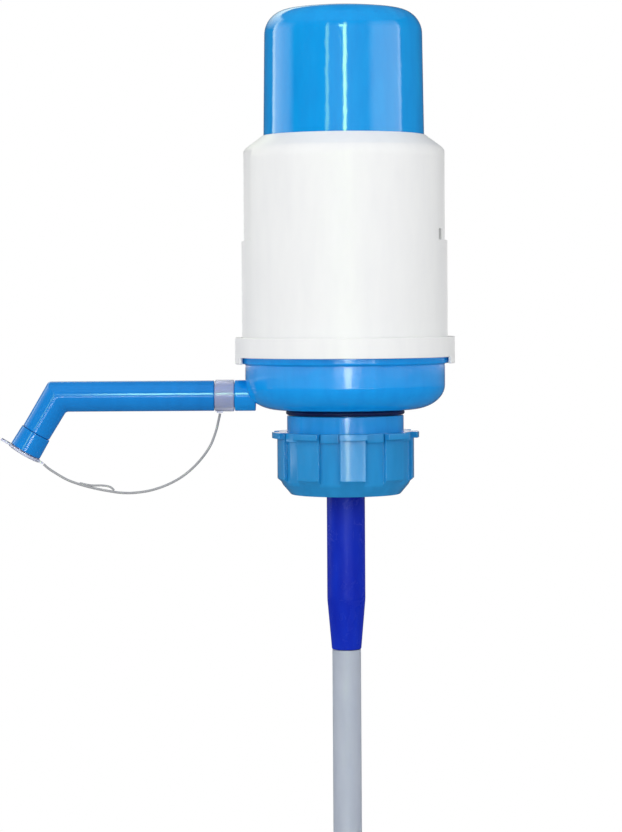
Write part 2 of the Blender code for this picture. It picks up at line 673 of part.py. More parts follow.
def make_bowl():
    """Lower shell: air chamber floor, spout socket, duct boss and screw bosses in one moulding."""
    curve = bowl_curve(0, 6)
    rim_bottom = RIM_TOP - RIM_HEIGHT
    side = [
        (BOWL_RADIUS, rim_bottom, 0),
        (RIM_RADIUS, rim_bottom, RIM_ROUND),
        (RIM_RADIUS, RIM_TOP, 0),
        (UPSTAND_RADIUS, RIM_TOP, 0),
        (UPSTAND_RADIUS, UPSTAND_TOP, 0),
        (UPSTAND_BORE_RADIUS, UPSTAND_TOP, 0),
        (UPSTAND_BORE_RADIUS, PLATE_LEDGE, 0),
        (BOWL_RADIUS - BOWL_WALL, PLATE_LEDGE, 0),
    ]
    outline = curve + [tuple(p) for p in rounded(side, 2)] + bowl_curve(BOWL_WALL, 3)[::-1]
    bowl = turned("bowl", outline, BLUE)
    half_wall = BOWL_WALL / 2
    middle = bowl_curve(half_wall, 5)
    above = PLATE_LEDGE + OVERRUN
    filled = [(0, middle[0][1])] + middle + [(BOWL_RADIUS - half_wall, above), (0, above)]
    core = helper(turned("bowl_core", filled, BLUE, closed=False))
    bosses = [
        rod(SCREW_BOSS_RADIUS, PLATE_LEDGE - SCREW_BOSS_DEPTH, PLATE_LEDGE, TINY_SIDES, place)
        for place in screw_places()
    ]
    lying = Matrix.Translation((0, 0, DUCT_HEIGHT)) @ Matrix.Rotation(-math.pi / 2, 4, "Y")
    bosses.append(rod(DUCT_BOSS_RADIUS, DUCT_BOSS_INNER_END, BOWL_RADIUS - SINK, SMALL_SIDES, lying))
    inner = helper(as_object("bowl_bosses", joined(bosses), BLUE))
    combine(inner, "INTERSECT", core)
    combine(bowl, "UNION", inner)
    socket_line = Matrix.Translation((0, 0, SPOUT_HEIGHT)) @ Matrix.Rotation(-math.pi / 2, 4, "Y")
    socket = rod(SOCKET_RADIUS, SOCKET_ROOT, SOCKET_END, SMALL_SIDES, socket_line)
    combine(bowl, "UNION", helper(as_object("bowl_socket", socket, BLUE)))
    cuts = (
        ("socket_bore", SPIGOT_RADIUS + FIT, SOCKET_BORE_END, SOCKET_END + OVERRUN, socket_line),
        ("duct_passage", DUCT_BORE_RADIUS, DUCT_END, SOCKET_BORE_END + PASSAGE_OVERLAP, lying),
        ("duct_bore", DUCT_RADIUS + FIT, DUCT_BOSS_INNER_END - OVERRUN, DUCT_END + FIT, lying),
    )
    hole_bottom = SCREW_HEAD_BOTTOM - SCREW_LENGTH - FIT
    holes = [
        rod(SCREW_RADIUS + FIT, hole_bottom, PLATE_LEDGE + OVERRUN, TINY_SIDES, place)
        for place in screw_places()
    ]
    hollow = helper(as_object("screw_holes", joined(holes), BLUE))
    for i, (name, radius, low, high, place) in enumerate(cuts):
        cutter = rod(radius, low, high, SMALL_SIDES, place @ about_z(CUTTER_TURN_DEGREES * (i + 1)))
        combine(hollow, "UNION", helper(as_object(name, cutter, BLUE)))
    combine(bowl, "DIFFERENCE", hollow)


def make_water_duct():
    """Bent tube that takes the water from the riser to the socket."""
    rings = []
    centre = Vector((-DUCT_BEND_RADIUS, 0, DUCT_HEIGHT - DUCT_BEND_RADIUS))
    for radius in (DUCT_RADIUS, DUCT_BORE_RADIUS):
        run = [ring(Vector((-DUCT_END, 0, DUCT_HEIGHT)), Vector((1, 0, 0)), radius, SMALL_SIDES)]
        for i in range(DUCT_BEND_STEPS + 1):
            angle = math.pi / 2 * (1 - i / DUCT_BEND_STEPS)
            place = centre + Vector((math.cos(angle), 0, math.sin(angle))) * DUCT_BEND_RADIUS
            along = Vector((math.sin(angle), 0, -math.cos(angle)))
            run.append(ring(place, along, radius, SMALL_SIDES))
        run.append(ring(Vector((0, 0, DUCT_FOOT)), Vector((0, 0, -1)), radius, SMALL_SIDES))
        rings += run if radius == DUCT_RADIUS else run[::-1]
    lofted("water_duct", rings, WHITE)


def drilled(piece, name, centre_hole, with_screws, low, high):
    """Cuts the valve hole, its ring of ports and the screw holes through a plate."""
    holes = []
    if centre_hole:
        holes.append(rod(VALVE_STEM_RADIUS + FIT, low, high, TINY_SIDES))
        for i in range(PORT_COUNT):
            turn = about_z(360 * (i + 0.5) / PORT_COUNT)
            place = turn @ Matrix.Translation((PORT_CIRCLE_RADIUS, 0, 0))
            holes.append(rod(PORT_RADIUS, low, high, TINY_SIDES, place))
    if with_screws:
        holes += [rod(SCREW_RADIUS + FIT, low, high, TINY_SIDES, place) for place in screw_places()]
    cutter = helper(as_object(name, joined(holes), WHITE))
    cutter.parent = piece.parent
    combine(piece, "DIFFERENCE", cutter)


def make_valve_plate():
    """Plate between the bellows and the bowl, the ring that clamps the bellows on it, and the screws."""
    plate = turned(
        "valve_plate",
        [(0, PLATE_BOTTOM), (PLATE_RADIUS, PLATE_BOTTOM), (PLATE_RADIUS, PLATE_TOP), (0, PLATE_TOP)],
        WHITE,
        closed=False,
    )
    drilled(plate, "valve_plate_holes", True, True, PLATE_BOTTOM - OVERRUN, PLATE_TOP + OVERRUN)
    clamp = turned(
        "bellows_clamp_ring",
        [
            (CLAMP_INNER_RADIUS, CLAMP_BOTTOM),
            (CLAMP_RADIUS, CLAMP_BOTTOM),
            (CLAMP_RADIUS, CLAMP_TOP),
            (CLAMP_INNER_RADIUS, CLAMP_TOP),
        ],
        WHITE,
    )
    drilled(clamp, "clamp_holes", False, True, CLAMP_BOTTOM - OVERRUN, CLAMP_TOP + OVERRUN)
    for i, place in enumerate(screw_places()):
        head_top = SCREW_HEAD_BOTTOM + SCREW_HEAD_HEIGHT
        outline = [
            (0, SCREW_HEAD_BOTTOM - SCREW_LENGTH),
            (SCREW_RADIUS, SCREW_HEAD_BOTTOM - SCREW_LENGTH + SCREW_RADIUS),
            (SCREW_RADIUS, SCREW_HEAD_BOTTOM),
            (SCREW_HEAD_RADIUS, SCREW_HEAD_BOTTOM),
            (SCREW_HEAD_RADIUS, head_top - SCREW_HEAD_HEIGHT / 2),
            (SCREW_HEAD_RADIUS - SCREW_HEAD_HEIGHT / 2, head_top),
            (0, head_top),
        ]
        screw = turned(f"plate_screw_{i + 1}", outline, STEEL, TINY_SIDES, closed=False)
        screw.matrix_world = place
        half = SCREW_SLOT_WIDTH / 2
        slots = [
            block(
                (-SCREW_HEAD_RADIUS / 2, -half, head_top - SCREW_HEAD_HEIGHT / 2),
                (SCREW_HEAD_RADIUS / 2, half, head_top + OVERRUN),
                about_z(turn),
            )
            for turn in (0, 90)
        ]
        first = helper(as_object(f"screw_slot_a_{i + 1}", slots[0], STEEL, screw))
        second = helper(as_object(f"screw_slot_b_{i + 1}", slots[1], STEEL, screw))
        combine(screw, "DIFFERENCE", first)
        combine(screw, "DIFFERENCE", second)


def make_valve(name, plate_bottom, plate_top, parent):
    """Rubber poppet: a disc under the plate, a stem through it and a button that stops the lift."""
    disc_top = plate_bottom - FIT
    button = plate_top + VALVE_LIFT + FIT
    outline = [
        (0, disc_top - VALVE_DISC_THICKNESS),
        (VALVE_DISC_RADIUS, disc_top - VALVE_DISC_THICKNESS),
        (VALVE_DISC_RADIUS, disc_top),
        (VALVE_STEM_RADIUS, disc_top),
        (VALVE_STEM_RADIUS, button),
        (VALVE_HEAD_RADIUS, button),
        (VALVE_STEM_RADIUS, button + VALVE_HEAD_HEIGHT),
        (0, button + VALVE_HEAD_HEIGHT),
    ]
    turned(name, outline, GREY_RUBBER, SMALL_SIDES, parent, closed=False)


def make_bellows():
    """Pleated rubber bellows with a foot under the clamp ring and a head under the top plate."""
    low = BELLOWS_BOTTOM + BELLOWS_CUFF
    high = BELLOWS_TOP - BELLOWS_CUFF
    half_pitch = (high - low) / (2 * BELLOWS_PLEATS)
    outer, inner = [], []
    for i in range(1, 2 * BELLOWS_PLEATS):
        radius = BELLOWS_OUTER_RADIUS if i % 2 else BELLOWS_INNER_RADIUS
        outer.append((radius, low + half_pitch * i))
        inner.append((radius - BELLOWS_WALL, low + half_pitch * i))
    foot_inner = BELLOWS_INNER_RADIUS - BELLOWS_WALL
    outline = (
        [(foot_inner, BELLOWS_BOTTOM), (BELLOWS_FOOT_RADIUS, BELLOWS_BOTTOM), (BELLOWS_FOOT_RADIUS, low)]
        + [(BELLOWS_INNER_RADIUS, low)]
        + outer
        + [(BELLOWS_INNER_RADIUS, high), (BELLOWS_HEAD_RADIUS, high), (BELLOWS_HEAD_RADIUS, BELLOWS_TOP)]
        + [(BELLOWS_HEAD_INNER_RADIUS, BELLOWS_TOP), (BELLOWS_HEAD_INNER_RADIUS, high), (foot_inner, high)]
        + inner[::-1]
        + [(foot_inner, low)]
    )
    bellows = turned("bellows", outline, GREY_RUBBER, SMALL_SIDES)
    holes = [
        rod(SCREW_RADIUS + FIT, BELLOWS_BOTTOM - OVERRUN, low + OVERRUN, TINY_SIDES, place)
        for place in screw_places()
    ]
    combine(bellows, "DIFFERENCE", helper(as_object("bellows_holes", joined(holes), GREY_RUBBER)))


def wire(name, points, diameter, finish, resolution, parent=None):
    """A round wire or cord through the given points."""
    curve = bpy.data.curves.new(name, "CURVE")
    curve.dimensions = "3D"
    curve.bevel_depth = diameter / 2
    curve.bevel_resolution = resolution
    curve.use_fill_caps = True
    line = curve.splines.new("POLY")
    line.points.add(len(points) - 1)
    for point, place in zip(line.points, points):
        point.co = (*place, 1)
    curve.materials.append(finish)
    made = bpy.data.objects.new(name, curve)
    bpy.context.scene.collection.objects.link(made)
    if parent:
        made.parent = parent
    return made


def make_spring():
    """Compression spring between the two plates, with its end turns closed up."""
    low = PLATE_TOP + FIT + SPRING_WIRE_RADIUS
    high = TOP_PLATE_BOTTOM - FIT - SPRING_WIRE_RADIUS
    count = SPRING_TURNS * SPRING_POINTS_PER_TURN
    end_turn = 1 / SPRING_TURNS
    closed_pitch = SPRING_WIRE_RADIUS * 2 + 2 * FIT
    points = []
    for i in range(count + 1):
        share = i / count
        if share < end_turn:
            height = low + closed_pitch * share / end_turn
        elif share > 1 - end_turn:
            height = high - closed_pitch * (1 - share) / end_turn
        else:
            open_share = (share - end_turn) / (1 - 2 * end_turn)
            height = low + closed_pitch + (high - low - 2 * closed_pitch) * open_share
        angle = 2 * math.pi * SPRING_TURNS * share
        points.append((SPRING_RADIUS * math.cos(angle), SPRING_RADIUS * math.sin(angle), height))
    wire("return_spring", points, 2 * SPRING_WIRE_RADIUS, STEEL, 1)
    print(f"return_spring: least gap between turns {closed_pitch - 2 * SPRING_WIRE_RADIUS:.4f} m")


def inner_shoulder(radius):
    """Height of the barrel's sloping shoulder on its inside."""
    drop = SHOULDER_WALL / math.cos(math.radians(SHOULDER_SLOPE_DEGREES))
    return MOUTH_TOP - (radius - MOUTH_RADIUS) * SHOULDER_RISE - drop


def make_barrel():
    """White sleeve that guides the plunger, with a shallow recess on each side and a window in each."""
    outline = [
        (BARREL_BORE_RADIUS, BARREL_BOTTOM, 0),
        (BARREL_FLANGE_RADIUS, BARREL_BOTTOM, 0),
        (BARREL_FLANGE_RADIUS, BARREL_FLANGE_TOP, 0),
        (BARREL_RADIUS, BARREL_FLANGE_TOP, 0),
        (BARREL_RADIUS, MOUTH_TOP - (BARREL_RADIUS - MOUTH_RADIUS) * SHOULDER_RISE, SHOULDER_ROUND),
        (MOUTH_RADIUS, MOUTH_TOP, 0),
        (MOUTH_RADIUS, inner_shoulder(MOUTH_RADIUS), 0),
        (BARREL_BORE_RADIUS, inner_shoulder(BARREL_BORE_RADIUS), 0),
    ]
    barrel = turned("barrel", [tuple(p) for p in rounded(outline, 3)], WHITE)
    floor = BARREL_RADIUS - RECESS_DEPTH
    beyond = BARREL_RADIUS + OVERRUN
    recess = [(floor, RECESS_BOTTOM), (beyond, RECESS_BOTTOM), (beyond, MOUTH_TOP), (floor, MOUTH_TOP)]
    wide = 2 * RECESS_HALF_DEGREES
    sides = [spun(recess, 6, wide, middle - RECESS_HALF_DEGREES) for middle in (0, 180)]
    combine(barrel, "DIFFERENCE", helper(as_object("barrel_recesses", joined(sides), WHITE)))
    inside = BARREL_BORE_RADIUS - OVERRUN
    half = WINDOW_WIDTH / 2
    window = ((inside, -half, RECESS_BOTTOM), (beyond, half, RECESS_BOTTOM + WINDOW_HEIGHT))
    windows = [block(*window, about_z(middle - WINDOW_DEGREES)) for middle in (0, 180)]
    combine(barrel, "DIFFERENCE", helper(as_object("barrel_windows", joined(windows), WHITE)))
    turned(
        "chamber_gasket",
        [
            (UPSTAND_BORE_RADIUS + FIT, CHAMBER_GASKET_BOTTOM),
            (UPSTAND_RADIUS - FIT, CHAMBER_GASKET_BOTTOM),
            (UPSTAND_RADIUS - FIT, CHAMBER_GASKET_TOP),
            (UPSTAND_BORE_RADIUS + FIT, CHAMBER_GASKET_TOP),
        ],
        GREY_RUBBER,
    )


def make_base_ring():
    """Screw ring that holds the barrel's flange down, with a finger tab on each side."""
    bore = BARREL_FLANGE_RADIUS + FIT
    low = RIM_TOP - RING_TAB_DROP
    outline = [
        (bore, low, 0),
        (RING_RADIUS, low, 0),
        (RING_RADIUS, RING_TOP, RING_ROUND),
        (BARREL_RADIUS + FIT, RING_TOP, 0),
        (BARREL_RADIUS + FIT, RING_LIP_BOTTOM, 0),
        (bore, RING_LIP_BOTTOM, 0),
    ]
    base = turned("base_ring", [tuple(p) for p in rounded(outline, 2)], WHITE)
    cut = [
        (bore - OVERRUN, low - OVERRUN),
        (RING_RADIUS + OVERRUN, low - OVERRUN),
        (RING_RADIUS + OVERRUN, RIM_TOP),
        (bore - OVERRUN, RIM_TOP),
    ]
    wide = 180 - 2 * RING_TAB_HALF_DEGREES
    gaps = [spun(cut, 16, wide, middle - wide / 2) for middle in (90, -90)]
    combine(base, "DIFFERENCE", helper(as_object("ring_tab_gaps", joined(gaps), WHITE)))


def make_press_cap():
    """Domed cap with a guide hoop at its foot and four ribs that push the top plate."""
    hoop_radius = BARREL_BORE_RADIUS - HOOP_CLEARANCE
    hoop_top = inner_shoulder(hoop_radius) - FIT
    hoop_low = hoop_top - HOOP_HEIGHT
    hoop_inner = hoop_radius - HOOP_WALL
    ledge = hoop_top - HOOP_FLANGE_THICKNESS

    def dome(inset, steps):
        """The corner arc and the crown of the cap, from its side up to the axis."""
        corner = CAP_CORNER_RADIUS - inset
        crown = CAP_DOME_RADIUS - inset
        across = CAP_TOP_RADIUS - CAP_CORNER_RADIUS
        lean = math.asin(across / (CAP_DOME_RADIUS - CAP_CORNER_RADIUS))
        top = CAP_APEX - inset
        height = top - crown + (CAP_DOME_RADIUS - CAP_CORNER_RADIUS) * math.cos(lean)
        lean_degrees = math.degrees(lean)
        points = arc((across, height), corner, 0, 90 - lean_degrees, steps)
        crown_arc = arc((0, top - crown), crown, 90 - lean_degrees, 90, 2)
        points += crown_arc[1:]
        points[-1] = Vector((0, top))
        return points

    inner_radius = CAP_TOP_RADIUS - CAP_WALL
    outline = (
        [(inner_radius, ledge), (hoop_inner, ledge), (hoop_inner, hoop_low), (hoop_radius, hoop_low)]
        + [(hoop_radius, hoop_top), (CAP_MOUTH_RADIUS, hoop_top), (CAP_MOUTH_RADIUS, MOUTH_TOP)]
        + [tuple(p) for p in dome(0, 5)]
    )
    inside = [tuple(p) for p in dome(CAP_WALL, 3)]
    cap = turned("press_cap", inside[::-1] + outline, BLUE, parent=PRESS_AXIS, closed=False)
    ceiling = CAP_APEX - CAP_WALL + SINK
    core_outline = [(0, TOP_PLATE_BOTTOM), (inner_radius + SINK, TOP_PLATE_BOTTOM)]
    core_outline += [tuple(p) for p in dome(CAP_WALL - SINK, 3)]
    core = helper(turned("cap_core", core_outline, BLUE, parent=PRESS_AXIS, closed=False))
    ribs = []
    for i in range(RIB_COUNT):
        turn = about_z(360 * (i + 0.5) / RIB_COUNT)
        low, high = (RIB_INNER_RADIUS, -RIB_THICKNESS / 2), (CAP_TOP_RADIUS, RIB_THICKNESS / 2)
        ribs.append(block((*low, TOP_PLATE_BOTTOM), (*high, ceiling), turn))
    blades = helper(as_object("cap_ribs", joined(ribs), BLUE, PRESS_AXIS))
    combine(blades, "INTERSECT", core)
    seat_outline = [
        (0, TOP_PLATE_BOTTOM - OVERRUN),
        (TOP_PLATE_RADIUS + FIT, TOP_PLATE_BOTTOM - OVERRUN),
        (TOP_PLATE_RADIUS + FIT, TOP_PLATE_TOP + FIT),
        (0, TOP_PLATE_TOP + FIT),
    ]
    seat = helper(turned("plate_seat", seat_outline, BLUE, parent=PRESS_AXIS, closed=False))
    combine(blades, "DIFFERENCE", seat)
    combine(cap, "UNION", blades)


def make_top_plate():
    """Plate on the bellows' head, with the intake ports."""
    plate = turned(
        "bellows_top_plate",
        [
            (0, TOP_PLATE_BOTTOM),
            (TOP_PLATE_RADIUS, TOP_PLATE_BOTTOM),
            (TOP_PLATE_RADIUS, TOP_PLATE_TOP),
            (0, TOP_PLATE_TOP),
        ],
        WHITE,
        parent=PRESS_AXIS,
        closed=False,
    )
    drilled(plate, "top_plate_ports", True, False, TOP_PLATE_BOTTOM - OVERRUN, TOP_PLATE_TOP + OVERRUN)


def make_spout():
    """Bent spout: a spigot with a seal groove, a straight run, a mitred elbow and the arm."""
    toward = Vector((-1, 0, 0))
    mitre = (toward + ARM_DIRECTION).normalized()

    def straight(x, radius):
        return ring(Vector((-x, 0, 0)), toward, radius)

    def on_arm(distance, radius):
        return ring(ELBOW + ARM_DIRECTION * distance, ARM_DIRECTION, radius)

    groove_start = SPIGOT_END + SEAL_GROOVE_SETBACK
    groove_end = groove_start + SEAL_GROOVE_WIDTH
    arm_end = TIP_LIP_START - FIT
    neck_end = SPOUT_SHOULDER + SPIGOT_RADIUS - SPIGOT_BORE_RADIUS
    outer = [
        straight(SPIGOT_END, SPIGOT_RADIUS),
        straight(groove_start, SPIGOT_RADIUS),
        straight(groove_start, SEAL_GROOVE_RADIUS),
        straight(groove_end, SEAL_GROOVE_RADIUS),
        straight(groove_end, SPIGOT_RADIUS),
        straight(SPOUT_SHOULDER, SPIGOT_RADIUS),
        straight(SPOUT_SHOULDER, SPOUT_RADIUS),
        ring(ELBOW, toward, SPOUT_RADIUS, mitre=mitre),
        on_arm(TIP_START - FIT, ARM_RADIUS),
        on_arm(TIP_START - FIT, ARM_STEP_RADIUS),
        on_arm(arm_end, ARM_STEP_RADIUS),
    ]
    inner = [
        on_arm(arm_end, SPOUT_BORE_RADIUS),
        ring(ELBOW, toward, SPOUT_BORE_RADIUS, mitre=mitre),
        straight(neck_end, SPOUT_BORE_RADIUS),
        straight(SPOUT_SHOULDER, SPIGOT_BORE_RADIUS),
        straight(SPIGOT_END, SPIGOT_BORE_RADIUS),
    ]
    lofted("spout_tube", outer + inner, BLUE, SPOUT_AXIS)


def along_spout(name, outline, finish, sides=SMALL_SIDES):
    """A turned piece whose axis is the spout's straight run; heights are distances from the pump's axis."""
    made = spun(outline, sides)
    bmesh.ops.transform(made, matrix=Matrix.Rotation(-math.pi / 2, 4, "Y"), verts=made.verts)
    return as_object(name, made, finish, SPOUT_AXIS)


def make_spout_fittings():
    """Seal ring, strap ring with its lug, and the sleeve on the tip."""
    low = SPIGOT_END + SEAL_GROOVE_SETBACK + FIT
    high = low + SEAL_GROOVE_WIDTH - 2 * FIT
    inner = SEAL_GROOVE_RADIUS + FIT
    outer = SPIGOT_RADIUS + SEAL_PROUD
    edge = (inner + outer) / 2
    middle = (low + high) / 2
    along_spout(
        "spout_seal",
        [(inner, low), (edge, low), (outer, middle), (edge, high), (inner, high)],
        NAVY_RUBBER,
    )
    strap = along_spout(
        "strap_ring",
        [
            (STRAP_RING_INNER_RADIUS, STRAP_RING_START),
            (STRAP_RING_RADIUS, STRAP_RING_START),
            (STRAP_RING_RADIUS, STRAP_RING_END),
            (STRAP_RING_INNER_RADIUS, STRAP_RING_END),
        ],
        CLEAR,
    )
    half_x, half_y = STRAP_LUG_LENGTH / 2, STRAP_LUG_WIDTH / 2
    lug_x = STRAP_RING_END - STRAP_RING_LENGTH * STRAP_LUG_SHARE
    lug = block(
        (-lug_x - half_x, -half_y, -STRAP_RING_RADIUS - STRAP_LUG_DROP),
        (-lug_x + half_x, half_y, -STRAP_RING_RADIUS + SINK),
    )
    combine(strap, "UNION", helper(as_object("strap_lug", lug, CLEAR, SPOUT_AXIS)))
    sleeve = spun(
        [
            (ARM_STEP_RADIUS + FIT, TIP_START),
            (TIP_START_RADIUS, TIP_START),
            (TIP_END_RADIUS, TIP_END),
            (SPOUT_BORE_RADIUS, TIP_END),
            (SPOUT_BORE_RADIUS, TIP_LIP_START),
            (ARM_STEP_RADIUS + FIT, TIP_LIP_START),
        ],
        SMALL_SIDES,
    )
    as_object("spout_tip", sleeve, BLUE, CAP_AXIS)


def make_spout_cap():
    """Clear stopper: a disc over the tip, a plug in its bore, a finger tab and the leash's lug."""
    low = TIP_END + FIT
    high = low + CAP_DISC_THICKNESS
    stopper = as_object(
        "spout_cap",
        spun(
            [
                (0, high),
                (CAP_DISC_RADIUS, high),
                (CAP_DISC_RADIUS, low),
                (PLUG_RADIUS, low),
                (PLUG_RADIUS, low - PLUG_LENGTH),
                (PLUG_RADIUS - PLUG_WALL, low - PLUG_LENGTH),
                (PLUG_RADIUS - PLUG_WALL, low),
                (0, low),
            ],
            SMALL_SIDES,
            closed=False,
        ),
        CLEAR,
        CAP_AXIS,
    )
    inside = CAP_DISC_RADIUS - OVERRUN
    half_tab, half_lug = FINGER_TAB_WIDTH / 2, CAP_LUG_WIDTH / 2
    tab_low = high - FINGER_TAB_THICKNESS - FIT
    tab_end, lug_end = CAP_DISC_RADIUS + FINGER_TAB_LENGTH, CAP_DISC_RADIUS + CAP_LUG_LENGTH
    tab = block((inside, -half_tab, tab_low), (tab_end, half_tab, high - FIT))
    lug = block((-lug_end, -half_lug, low + FIT), (-inside, half_lug, high - FIT))
    for name, shape in (("cap_finger_tab", tab), ("cap_lug", lug)):
        combine(stopper, "UNION", helper(as_object(name, shape, CLEAR, CAP_AXIS)))


def smooth_route(places, step):
    """Evenly spaced points along a Catmull-Rom curve through the given places."""
    places = [Vector((x, 0, z)) for x, z in places]
    ends = [places[0] * 2 - places[1]] + places + [places[-1] * 2 - places[-2]]
    fine = []
    for before, start, end, after in zip(ends, ends[1:], ends[2:], ends[3:]):
        for i in range(LEASH_FINE_STEPS):
            t = i / LEASH_FINE_STEPS
            fine.append(
                (
                    start * 2
                    + (end - before) * t
                    + (before * 2 - start * 5 + end * 4 - after) * t**2
                    + (start * 3 - before - end * 3 + after) * t**3
                )
                / 2
            )
    fine.append(places[-1])
    length = sum((b - a).length for a, b in zip(fine, fine[1:]))
    count = round(length / step)
    even, walked = [fine[0]], 0
    for a, b in zip(fine, fine[1:]):
        walked += (b - a).length
        if walked >= length * len(even) / count - MERGE_DISTANCE:
            even.append(b)
    even[-1] = fine[-1]
    print(f"leash: {length:.4f} m long, {len(even)} points")
    return even


def make_leash():
    """Thin strap that keeps the spout cap on the strap ring; it hangs between the two."""
    route = [point - Vector((0, 0, SPOUT_HEIGHT)) for point in smooth_route(LEASH_ROUTE, LEASH_STEP)]
    wire("leash", route, LEASH_DIAMETER, CLEAR, 2, SPOUT_AXIS)


def make_riser():
    """Sleeve on the water duct that tapers down to the first dip tube."""
    seat = DUCT_FOOT - FIT
    turned(
        "riser_sleeve",
        [
            (DUCT_RADIUS + FIT, RISER_TOP),
            (RISER_RADIUS, RISER_TOP),
            (RISER_RADIUS, RISER_STRAIGHT_END),
            (RISER_END_RADIUS, RISER_END),
            (RISER_SPIGOT_RADIUS, RISER_END),
            (RISER_SPIGOT_RADIUS, RISER_END - RISER_SPIGOT_LENGTH),
            (RISER_SPIGOT_BORE_RADIUS, RISER_END - RISER_SPIGOT_LENGTH),
            (RISER_SPIGOT_BORE_RADIUS, RISER_END),
            (RISER_BORE_RADIUS, RISER_STRAIGHT_END),
            (RISER_BORE_RADIUS, seat - RISER_BORE_RADIUS),
            (DUCT_BORE_RADIUS, seat),
            (DUCT_RADIUS + FIT, seat),
        ],
        DEEP_BLUE,
        SMALL_SIDES,
    )


def make_dip_tubes():
    """Three lengths of tube joined by couplers; the lowest has notches in its foot."""
    top = RISER_END - FIT
    for i, name in enumerate(TUBE_NAMES):
        high = top - TUBE_SPACING * i
        low = high - TUBE_LENGTH
        section = [
            (TUBE_BORE_RADIUS, low),
            (TUBE_RADIUS, low),
            (TUBE_RADIUS, high),
            (TUBE_BORE_RADIUS, high),
        ]
        tube = turned(name, section, MILKY, SMALL_SIDES)
    notches = block(
        (-TUBE_RADIUS - OVERRUN, -FOOT_NOTCH_WIDTH / 2, low - OVERRUN),
        (TUBE_RADIUS + OVERRUN, FOOT_NOTCH_WIDTH / 2, low + FOOT_NOTCH_HEIGHT),
    )
    combine(tube, "DIFFERENCE", helper(as_object("foot_notches", notches, MILKY)))
    for i, name in enumerate(COUPLER_NAMES):
        middle = top - TUBE_LENGTH - FIT - COUPLER_STOP_THICKNESS / 2 - TUBE_SPACING * i
        half, stop = COUPLER_LENGTH / 2, COUPLER_STOP_THICKNESS / 2
        inner = TUBE_RADIUS + FIT
        turned(
            name,
            [
                (inner, middle - half),
                (COUPLER_RADIUS, middle - half),
                (COUPLER_RADIUS, middle + half),
                (inner, middle + half),
                (inner, middle + stop),
                (COUPLER_STOP_RADIUS, middle + stop),
                (COUPLER_STOP_RADIUS, middle - stop),
                (inner, middle - stop),
            ],
            MILKY,
            SMALL_SIDES,
        )


make_collar()
make_neck()
make_bowl()
make_water_duct()
make_valve_plate()
make_valve("delivery_valve", PLATE_BOTTOM, PLATE_TOP, DELIVERY_AXIS)
make_bellows()
make_spring()
make_barrel()
make_base_ring()
make_press_cap()
make_top_plate()
make_valve("intake_valve", TOP_PLATE_BOTTOM, TOP_PLATE_TOP, INTAKE_AXIS)
make_spout()
make_spout_fittings()
make_spout_cap()
make_leash()
make_riser()
make_dip_tubes()
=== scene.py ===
# %% [markdown]
# # A hand pump for a water jug
# The pump sits on the neck of a large water jug. A hand pushes the blue cap down, a bellows
# inside the white barrel sends air into the jug, and water rises through a tube to the spout.
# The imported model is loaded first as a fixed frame. Every dressed piece is then drawn in that
# frame's own place and size, so nothing has to be fitted afterwards.

# %% Load the frame
import math

import bmesh
import bpy
from mathutils import Matrix, Vector


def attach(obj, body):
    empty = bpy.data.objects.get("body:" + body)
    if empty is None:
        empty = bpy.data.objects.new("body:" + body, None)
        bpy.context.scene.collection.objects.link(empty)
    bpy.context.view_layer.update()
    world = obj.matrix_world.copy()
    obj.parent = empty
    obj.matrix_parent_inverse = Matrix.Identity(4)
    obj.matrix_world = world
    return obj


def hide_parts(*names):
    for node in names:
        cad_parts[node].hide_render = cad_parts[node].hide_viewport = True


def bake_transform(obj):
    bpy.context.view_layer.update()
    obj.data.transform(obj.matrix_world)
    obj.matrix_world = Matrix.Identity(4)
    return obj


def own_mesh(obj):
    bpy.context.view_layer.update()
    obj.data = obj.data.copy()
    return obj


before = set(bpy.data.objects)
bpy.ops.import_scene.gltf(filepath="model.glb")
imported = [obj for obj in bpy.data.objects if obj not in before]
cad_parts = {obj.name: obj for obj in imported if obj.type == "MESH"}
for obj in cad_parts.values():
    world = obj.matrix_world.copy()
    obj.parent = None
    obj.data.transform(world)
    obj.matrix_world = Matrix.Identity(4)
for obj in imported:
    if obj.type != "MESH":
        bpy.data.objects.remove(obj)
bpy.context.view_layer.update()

MM = 0.001

# %% [markdown]
# ## The camera
# The photograph was taken from a little above the middle of the pump, so the camera looks down
# by two and a half degrees. A long lens keeps the round pieces from spreading at the frame's
# edge. Its roll is small: the pump leans a third of a degree to the left in the picture.

# %% Place the camera
scene = bpy.context.scene
scene.view_settings.view_transform = "Standard"
camera = bpy.data.objects.new("camera", bpy.data.cameras.new("camera"))
camera.data.lens = 116.8
camera.location = (-0.0165, -1.296, 0.0704)
LOOKING_DOWN, LEAN = 2.46, 0.36
pitch = Matrix.Rotation(math.radians(90 - LOOKING_DOWN), 3, "X")
roll = Matrix.Rotation(math.radians(-LEAN), 3, "Z")
camera.rotation_euler = (pitch @ roll).to_euler()
scene.collection.objects.link(camera)
scene.camera = camera
print("camera distance:", round(camera.location.length, 3), "m")

# %% [markdown]
# ## Colours and nodes
# Colours are easiest to read as the hex codes of a paint program, and a shader wants linear
# light. One function does that change. A second one adds a shader node, with its settings and
# the wires that come into it, and a few more name the steps that come back in most materials,
# so that every material below reads as a list of its steps.


# %% Colour and node helpers
def colour(code):
    """Linear colour of an sRGB hex code such as #2090e0."""
    parts = [int(code[i : i + 2], 16) / 255 for i in (1, 3, 5)]
    linear = [p / 12.92 if p <= 0.04045 else ((p + 0.055) / 1.055) ** 2.4 for p in parts]
    return (*linear, 1.0)


